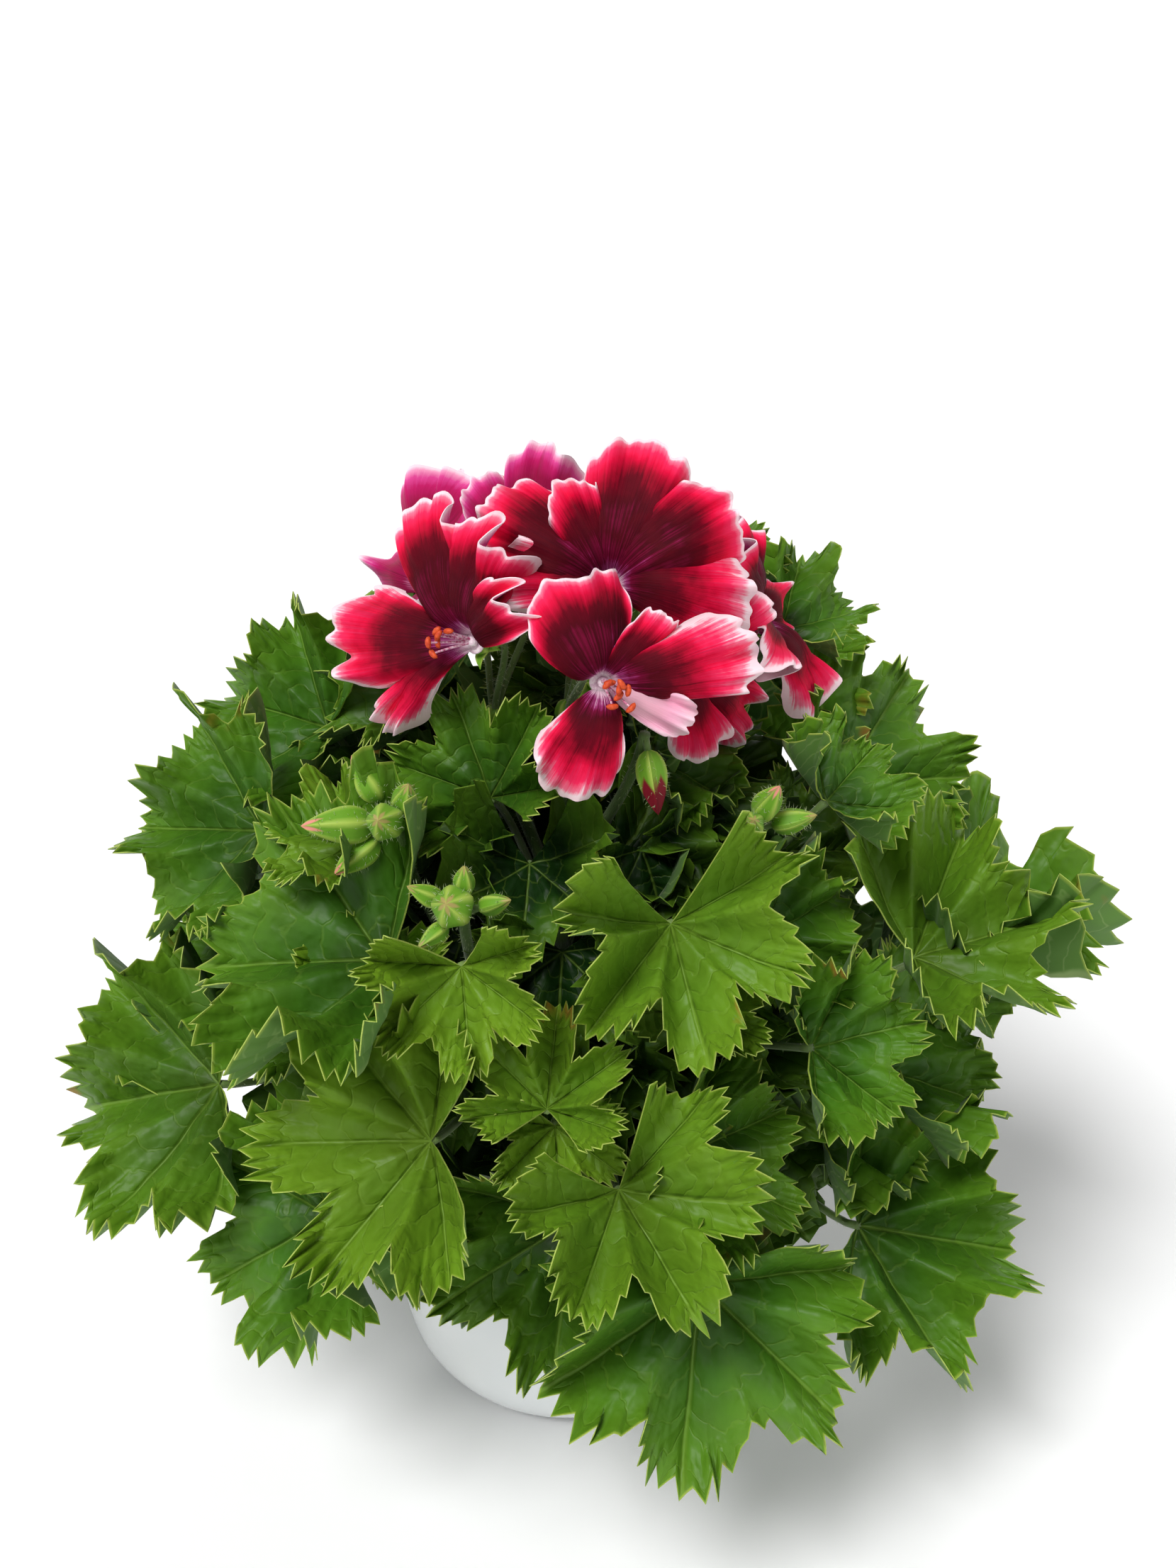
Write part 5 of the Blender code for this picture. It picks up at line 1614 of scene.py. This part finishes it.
@dataclass(frozen=True)
class Studio:
    """A pale floor, soft light from above the front left, and the camera at the photograph's angle."""

    target: tuple = (7.0, 0.0, 217.0)
    distance: float = 577.5
    elevation: float = 30.0
    focal_px: float = 2800.0
    frame_px: tuple = (1659, 2212)
    sensor_mm: float = 36.0
    board: tuple = (  # radius and height of the floor's rings, in metres
        (4.5, 0.0), (5.5, 0.12), (6.5, 0.5), (7.5, 1.15), (8.5, 2.1), (9.5, 3.4), (10.5, 5.0))
    board_sides: int = 96
    floor_gap: float = 0.0002
    lights: tuple = (  # of each its name, bearing and elevation, strength and spread
        ("key", (-34.0, 58.0), 2.8, 24.0),
        ("back", (160.0, 50.0), 0.3, 60.0))
    room_strength: float = 0.25

    def camera(self) -> None:
        """Places the camera: a little above the plant, looking down on it from the front."""
        data = bpy.data.cameras.new("photo_camera")
        data.sensor_width = self.sensor_mm
        data.lens = self.sensor_mm * self.focal_px / max(self.frame_px)
        data.clip_start, data.clip_end = 0.02, 60.0
        camera = bpy.data.objects.new("photo_camera", data)
        away = bearing_vector(0.0, self.elevation) * self.distance
        camera.location = Vector((np.array(self.target) + away) * MM)
        camera.rotation_euler = (math.radians(90.0 - self.elevation), 0.0, 0.0)
        bpy.context.scene.collection.objects.link(camera)
        bpy.context.scene.camera = camera

    def light(self, name: str, place: tuple, strength: float, spread: float) -> None:
        """Hangs a wide soft light so far away that it lights the whole floor evenly.

        Args:
            name: Its name.
            place: Bearing and elevation.
            strength: In watts a square metre at the plant.
            spread: The angle that it fills in the sky, in degrees.
        """
        data = bpy.data.lights.new(name, "SUN")
        data.energy, data.angle = strength, math.radians(spread)
        lamp = bpy.data.objects.new(name, data)
        away = Vector(bearing_vector(*place))
        lamp.location = away * 2.0
        lamp.rotation_euler = away.to_track_quat("Z", "Y").to_euler()
        bpy.context.scene.collection.objects.link(lamp)

    def floor(self) -> None:
        """Lays a wide round floor of matt pale board that curves up to a backdrop far away."""
        sides = self.board_sides
        mesh = bpy.data.meshes.new("floor")
        turns = [2.0 * math.pi * i / sides for i in range(sides)]
        points = [(r * math.cos(turn), r * math.sin(turn), z - self.floor_gap)
                  for r, z in self.board for turn in turns]
        faces = [tuple(range(sides))]
        for low in range(0, sides * (len(self.board) - 1), sides):
            faces += [(low + i, low + sides + i, low + sides + (i + 1) % sides, low + (i + 1) % sides)
                      for i in range(sides)]
        mesh.from_pydata(points, [], faces)
        mesh.polygons.foreach_set("use_smooth", [True] * len(faces))
        board = bpy.data.objects.new("floor", mesh)
        material = bpy.data.materials.new("matt_board")
        material.use_nodes = True
        plain = {"Base Color": linear("#F7F7F7"), "Roughness": 0.9, "Specular IOR Level": 0.2}
        for socket, value in plain.items():
            shader_of(material).inputs[socket].default_value = value
        mesh.materials.append(material)
        bpy.context.scene.collection.objects.link(board)

    def build(self) -> None:
        """Sets up the camera, the lights, the floor and the pale surroundings."""
        scene = bpy.context.scene
        scene.view_settings.view_transform = "Standard"
        scene.view_settings.look = "None"
        world = bpy.data.worlds.new("pale_room")
        world.use_nodes = True
        background = world.node_tree.nodes["Background"]
        background.inputs["Color"].default_value = linear("#FFFFFF")
        background.inputs["Strength"].default_value = self.room_strength
        scene.world = world
        self.camera()
        for lamp in self.lights:
            self.light(*lamp)
        self.floor()


# Tables of the plant

SHOOTS = {
    "shoot_middle": Shoot((10, 6), (-5, 16, 178), (
        Leaf(21, 218, 4, 41, (5, 47), 10, 0.42, 0.34),
        Leaf(-30, 232, -19, 33, (-10, 28), -155, 0.3, 0.3),
        Leaf(-12, 216, -34, 32, (0, 56), -4, 0.4, 0.2),
        Leaf(55, 236, -21, 32, (25, 43), 97, 0.25),
        Leaf(-64, 212, -44, 32, (-60, 72), 0),
        Leaf(28, 204, -58, 32, (20, 86), 24),
        Leaf(84, 218, -38, 34, (48, 50), 62),
        Leaf(-142, 222, -36, 33, (-20, 46), 0),
        Leaf(141, 220, -36, 33, (16, 46), 0),
        Leaf(174, 192, -68, 33, (0, 42), -8),
        Leaf(172, 240, -24, 34, (-4, 34), 176, 0.2, 0.2),
    )),
    "shoot_front_left": Shoot((-35, 20), (-30, 46, 150), (
        Leaf(-16, 214, 12, 30, (-8, 34), 10, 0.42, 0.3),
        Leaf(-18, 170, 8, 49, (-6, 36), -85, 0.18, 0.34, 0.05),
        Leaf(-32, 206, 2, 56, (-22, 58), -78, 0.24, 0.22),
        Leaf(-46, 229, 14, 26, (-28, 66), -84, 0.2),
        Leaf(-35, 190, -10, 28, (-10, 36), 188, 0.3),
        Leaf(-2, 178, 2, 28, (-5, 36), 178, 0.24, 0.42),
        Leaf(-46, 182, -14, 33, (-35, 48), -55, 0.3),
        Leaf(-42, 118, -4, 46, (-32, 36), -44, 0.18),
        Leaf(-23, 142, -9, 36, (-66, 24), -6, 0.25),
    )),
    "shoot_front_right": Shoot((30, 20), (22, 46, 148), (
        Leaf(8, 157, 6, 42, (2, 56), 30, 0.3, 0.3),
        Leaf(20, 120, 6, 58, (10, 32), -10, 0.1, 0.26, 0.05),
        Leaf(2, 124, -21, 49, (-8, 32), -4, 0.12, 0.3, 0.05),
        Leaf(22, 150, -12, 37, (24, 46), 46, 0.16),
        Leaf(42, 178, 2, 33, (18, 34), 92, 0.2, 0.24, 0.05),
        Leaf(24, 190, -13, 28, (8, 32), 165, 0.28, 0.32),
        Leaf(-1, 168, -6, 24, (6, 40), 0, 0.24, 0.36),
        Leaf(48, 197, -17, 33, (28, 24), 98, 0.26),
        Leaf(47, 166, -35, 32, (30, 48), 18),
        Leaf(14, 164, -36, 26, (12, 94), -24),
    )),
    "shoot_right": Shoot((95, 18), (72, 48, 165), (
        Leaf(70, 181, 9, 50, (-6, 64), 112, 0.36, 0.3),
        Leaf(100, 209, 1, 46, (24, 38), 130, 0.22),
        Leaf(92, 162, 12, 60, (150, 88), -55, 0.2),
        Leaf(66, 145, -2, 42, (42, 38), 100, 0.2),
        Leaf(54, 104, 4, 56, (24, 40), 66, 0.1, 0.3, 0.05),
        Leaf(92, 146, -4, 36, (70, 40), 40, 0.25),
        Leaf(104, 188, 2, 33, (70, 70), 86, 0.3),
        Leaf(66, 230, 18, 28, (42, 52), 106, 0.25),
        Leaf(86, 140, -29, 32, (70, 62), 16),
        Leaf(82, 200, -22, 28, (34, 39), 122, 0.2, 0.3),
        Leaf(60, 130, -16, 38, (34, 34), 80, 0.2, 0.3),
    )),
    "shoot_left": Shoot((-95, 18), (-76, 48, 165), (
        Leaf(-70, 136, 5, 57, (-28, 40), -66, 0.2, 0.28),
        Leaf(-78, 168, -10, 36, (-42, 30), -42, 0.25),
        Leaf(-77, 213, 8, 46, (-32, 42), -76, 0.2),
        Leaf(-100, 229, 8, 42, (-24, 44), -95, 0.2),
        Leaf(-108, 222, -15, 33, (-36, 66), -60, 0.22),
        Leaf(-106, 168, -2, 36, (-76, 34), -30, 0.2),
        Leaf(-102, 192, 7, 33, (-62, 58), -79, 0.25),
        Leaf(-92, 120, 2, 46, (-90, 36), -10, 0.2),
        Leaf(-56, 148, -32, 32, (-60, 50), -8),
        Leaf(-108, 238, -6, 38, (-20, 60), -102, 0.2),
    )),
    "shoot_back_right": Shoot((150, 16), (140, 44, 178), (
        Leaf(124, 232, 16, 34, (35, 32), 126, 0.22),
        Leaf(118, 250, 73, 32, (30, 54), 138, 0.2),
        Leaf(142, 256, 69, 30, (20, 54), 168, 0.2),
        Leaf(150, 205, 2, 46, (150, 48), 0, 0.22),
        Leaf(132, 176, -17, 46, (122, 52), 16, 0.22),
        Leaf(163, 158, 2, 46, (160, 38), -5, 0.2),
        Leaf(130, 128, 0, 46, (128, 34), 0, 0.18),
        Leaf(110, 128, 16, 42, (104, 38), 20, 0.2),
        Leaf(174, 116, 0, 46, (172, 32), 5, 0.18),
        Leaf(170, 236, 10, 38, (170, 60), 0, 0.2),
    )),
    "shoot_back_left": Shoot((-140, 18), (-145, 44, 178), (
        Leaf(-160, 212, 3, 46, (-165, 52), 24, 0.22),
        Leaf(-134, 186, -2, 44, (-134, 44), -8, 0.22),
        Leaf(-158, 172, 10, 46, (-166, 42), -8, 0.2),
        Leaf(-132, 145, -1, 46, (-120, 38), 0, 0.2),
        Leaf(-154, 130, 0, 46, (-148, 36), 6, 0.18),
    )),
}

# Where the flowers' stalks part, and the shoot that carries each
UMBELS = (
    ("shoot_middle", (1.0, -13.0, 248.0)),
    ("shoot_middle", (-19.0, -12.0, 246.0)),
)
BLOOM_UMBEL = {
    "bloom_left": 1, "bloom_left_back": 1, "bloom_top_left": 1,
    "bloom_front": 0, "bloom_top": 0, "bloom_right": 0, "bloom_right_back": 0, "bloom_back": 0,
}
# The petals of these two are tangled, so they share a node
BLOOM_NODE = {"bloom_right": "blooms_right", "bloom_right_back": "blooms_right"}

BLOOMS = (
    Bloom("bloom_left", (-23, -28, 276.6), (-40, 20), 0, (
        Petal(-104, 43, 0.65, 76, 0.12),
        Petal(-144, 36, 0.3, 80, 0.8, 0.04),
        Petal(-27, 37, 0.63, 66, 0.35),
        Petal(12, 35, 0.56, 62, 0.2),
        Petal(50, 31, 0.5, 54, 0.4),
    )),
    Bloom("bloom_front", (10.7, -46, 273.8), (12, 18), 0, (
        Petal(-16, 28, 1.1, 76, -0.05, 0.06),
        Petal(46, 23, 0.56, 62, 0.2),
        Petal(82, 39, 0.58, 76, 0.1),
        Petal(118, 24, 0.47, 62, 0.8, 0.05),
        Petal(-158, 29, 0.81, 84, -0.15),
    )),
    Bloom("bloom_top", (12.3, -24, 291), (4, 36), 0, (
        Petal(-84, 29, 0.67, 70, 0.15),
        Petal(-24, 28, 0.56, 60, 0.2),
        Petal(20, 37, 0.81, 74, 0.0),
        Petal(62, 37, 0.67, 70, 0.15),
        Petal(100, 36, 0.67, 80, -0.1),
        Petal(-54, 37, 0.67, 80, 0.1),
    )),
    Bloom("bloom_right", (28, -25, 268), (48, 8), 0, (
        Petal(76, 32, 0.62, 66, 0.15),
        Petal(132, 41, 0.58, 86, -0.2),
        Petal(24, 27, 0.62, 62, 0.3, 0.05),
        Petal(176, 26, 0.56, 60, 0.2),
    )),
    Bloom("bloom_right_back", (52, 8, 266), (84, 26), 0, (
        Petal(44, 28, 0.67, 70, 0.1),
        Petal(112, 27, 0.67, 72, 0.0),
        Petal(176, 34, 0.56, 74, 0.2),
        Petal(-20, 28, 0.67, 70, 0.1),
        Petal(-94, 28, 0.67, 68, 0.1),
    )),
    Bloom("bloom_left_back", (-35, 5, 277), (-78, 34), 0, (
        Petal(-56, 36, 0.65, 70, 0.1),
        Petal(-104, 30, 0.62, 72, 0.2),
        Petal(-10, 31, 0.67, 70, 0.0),
        Petal(56, 29, 0.67, 70, 0.1),
        Petal(128, 28, 0.67, 72, 0.0),
    )),
    Bloom("bloom_top_left", (-8.6, -8, 290), (-20, 50), 0, (
        Petal(-2, 31, 0.58, 60, 0.15),
        Petal(-46, 26, 0.58, 60, 0.1),
        Petal(46, 27, 0.58, 60, 0.1),
        Petal(150, 20, 0.56, 60, 0.0),
    )),
    Bloom("bloom_back", (6, 23, 285), (172, 42), 0, (
        Petal(-32, 31, 0.69, 70, 0.1),
        Petal(36, 31, 0.69, 74, 0.1),
        Petal(106, 28, 0.69, 72, 0.0),
        Petal(180, 29, 0.69, 76, 0.0),
        Petal(-106, 28, 0.69, 70, 0.0),
    )),
)

# Stamens of the blooms that show them: degrees round the throat, lean and share of the full length
STAMENS = {
    "bloom_left": ((-110, 0.25, 1.0), (-60, 0.3, 0.85), (-150, 0.35, 0.9)),
    "bloom_front": ((100, 0.3, 0.9), (60, 0.15, 1.0), (-40, 0.1, 0.8), (140, 0.5, 0.95)),
}

CLUSTERS = (
    Cluster("shoot_front_left", (-43, -56, 237), (
        ((-68, 12), 6, 20, 4.6),
        ((-95, 62), 8, 15, 3.8),
        ((-10, 34), 8, 12, 4.4),
        ((-58, -26), 6, 15, 3.6),
        ((30, 62), 7, 12, 3.2),
    )),
    Cluster("shoot_front_left", (-25, -76, 223), (
        ((-16, 40), 6, 10, 5.0),
        ((-80, 34), 6, 11, 2.6),
        ((60, 30), 6, 11, 2.6),
        ((-40, -8), 6, 11, 2.4),
        ((20, 80), 6, 10, 2.6),
    )),
    Cluster("shoot_middle", (22, -41, 256), (
        ((24, -66), 4, 18, 3.8),
    )),
    Cluster("shoot_front_right", (50, -47, 230), (
        ((40, 60), 6, 15, 3.4),
        ((80, 20), 6, 13, 3.2),
        ((0, 40), 6, 11, 3.0),
    )),
)


@dataclass(frozen=True)
class Plant:
    """The whole potted plant, in the order in which it is put together."""

    stalk_radius: float = 1.9
    knob: tuple = (3.2, 3.4)  # half its width and half its height
    flower_stalk_radius: float = 1.0
    bud_stalk_radius: float = 1.5
    stalk_hairs: tuple = (260, 1.4)  # their number and length
    flower_stalk_hairs: tuple = (90, 1.5)
    bud_stalk_hairs: tuple = (160, 1.4)
    seed: int = 11

    def report(self, piece: bpy.types.Object, slot: str, *nodes: str) -> None:
        """Sets a piece on its body, hides the plain solids that it replaces and logs it.

        Args:
            piece: The made piece.
            slot: Not used.
            *nodes: The plain solids that it replaces.
        """
        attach(piece, ROOT)
        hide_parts(*nodes)
        count = sum(len(face.vertices) - 2 for face in piece.data.polygons)
        LOG.info("%s: %d triangles", piece.name, count)

    def inner_leaves(self, drafts: dict, rng: np.random.Generator) -> None:
        """Hangs each small inner leaf on the nearest outer shoot.

        Args:
            drafts: Each shoot's draft by its name.
            rng: Seeded source of the ways the leaves look.
        """
        outer = [name for name in SHOOTS if name != "shoot_middle"]
        for height, size, first, step, count in INNER_ROWS:
            for bearing in range(first, first + step * count, step):
                facing = bearing - 12.0 * math.sin(math.radians(bearing))
                looks = (facing, 30.0 + rng.uniform(-8.0, 8.0))
                turn = rng.uniform(-20.0, 20.0)
                leaf = Leaf(bearing, height, INNER_OUT - 6.0, size, looks, turn, 0.1)
                distances = [SHOOTS[name].nearness(leaf) for name in outer]
                owner = outer[distances.index(min(distances))]
                SHOOTS[owner].inner_leaf(drafts[owner], leaf)

    def stalks(self, drafts: dict, rng: np.random.Generator) -> None:
        """Adds the flower stalks, their knobs and the bud stalks.

        Args:
            drafts: Each shoot's draft by its name.
            rng: Seeded source of hairs.
        """
        for owner, umbel in UMBELS:
            shoot, end = SHOOTS[owner], np.array(umbel)
            start = shoot.stem_point(shoot.crown[2] - 3.0)
            rise = UP * np.linalg.norm(end - start) * 0.8
            line = curve_between(start, rise, end, rise, 20)
            add_tube(drafts[owner], line, self.stalk_radius, 12, Stuff.STEM, (0.5, 0.15, 0.0))
            hairs_on_line(drafts[owner], line, self.stalk_radius, *self.stalk_hairs, rng)
            add_turned(drafts[owner], end, UP, dome(*self.knob, 11), 20, Stuff.BUD, SHUT, 0.12, 7)
        for bloom in BLOOMS:
            owner, umbel = UMBELS[BLOOM_UMBEL[bloom.name]]
            axis = bloom.axes()[0]
            sunk = bloom.throat_thick + SEAT_GAP + bloom.calyx_length - 1.0
            base = np.array(bloom.throat) - axis * sunk
            away = unit(base - np.array(umbel))
            start = np.array(umbel) + away * self.knob[1] * 0.7
            span = np.linalg.norm(base - start)
            line = curve_between(start, (away + UP * 0.5) * 0.6 * span, base, axis * 0.8 * span, 14)
            add_tube(drafts[owner], line, self.flower_stalk_radius, 10, Stuff.STEM, (0.5, 0.35, 0.0))
            hairs_on_line(drafts[owner], line, self.flower_stalk_radius, *self.flower_stalk_hairs, rng)
            bloom.calyx(drafts[owner], rng)
        for cluster in CLUSTERS:
            shoot, end = SHOOTS[cluster.shoot], np.array(cluster.base)
            start = shoot.stem_point(shoot.crown[2] - 2.0)
            span = np.linalg.norm(end - start)
            arrive = (UP + unit(end - start)) * 0.5 * span
            line = curve_between(start, UP * 0.9 * span, end, arrive, 20)
            draft = drafts[cluster.shoot]
            add_tube(draft, line, self.bud_stalk_radius, 12, Stuff.STEM, (0.5, 0.25, 0.0))
            hairs_on_line(draft, line, self.bud_stalk_radius, *self.bud_stalk_hairs, rng)
            cluster.build(draft, rng)

    def build(self) -> None:
        """Makes every piece of the plant and its pot."""
        self.report(Pot().build(), "white_glaze", "pot")
        self.report(Soil().build(), "dark_soil", "soil")
        rng = np.random.default_rng(self.seed)
        drafts = {name: Draft() for name in SHOOTS}
        for name, shoot in SHOOTS.items():
            shoot.build(drafts[name], rng)
        self.inner_leaves(drafts, rng)
        self.stalks(drafts, rng)
        for name, draft in drafts.items():
            self.report(draft.build(f"leafy_{name}"), "green_leaf", name)
        groups: dict[str, Draft] = {}
        for bloom in BLOOMS:
            bloom.build(groups.setdefault(BLOOM_NODE.get(bloom.name, bloom.name), Draft()))
        for name, draft in groups.items():
            self.report(draft.build(f"petals_of_{name}"), "petal_red", name)
        for bloom in BLOOMS:
            if bloom.name in STAMENS:
                draft = Draft()
                bloom.stamens(draft, STAMENS[bloom.name])
                piece = draft.build(f"{bloom.name}_anthers")
                self.report(piece, "stamen_orange", f"{bloom.name}_stamens")


def main() -> None:
    """Builds the plant and the studio."""
    logging.basicConfig(level=logging.INFO, format="%(name)s %(message)s")
    Plant().build()
    Studio().build()


if __name__ == "__main__":
    main()
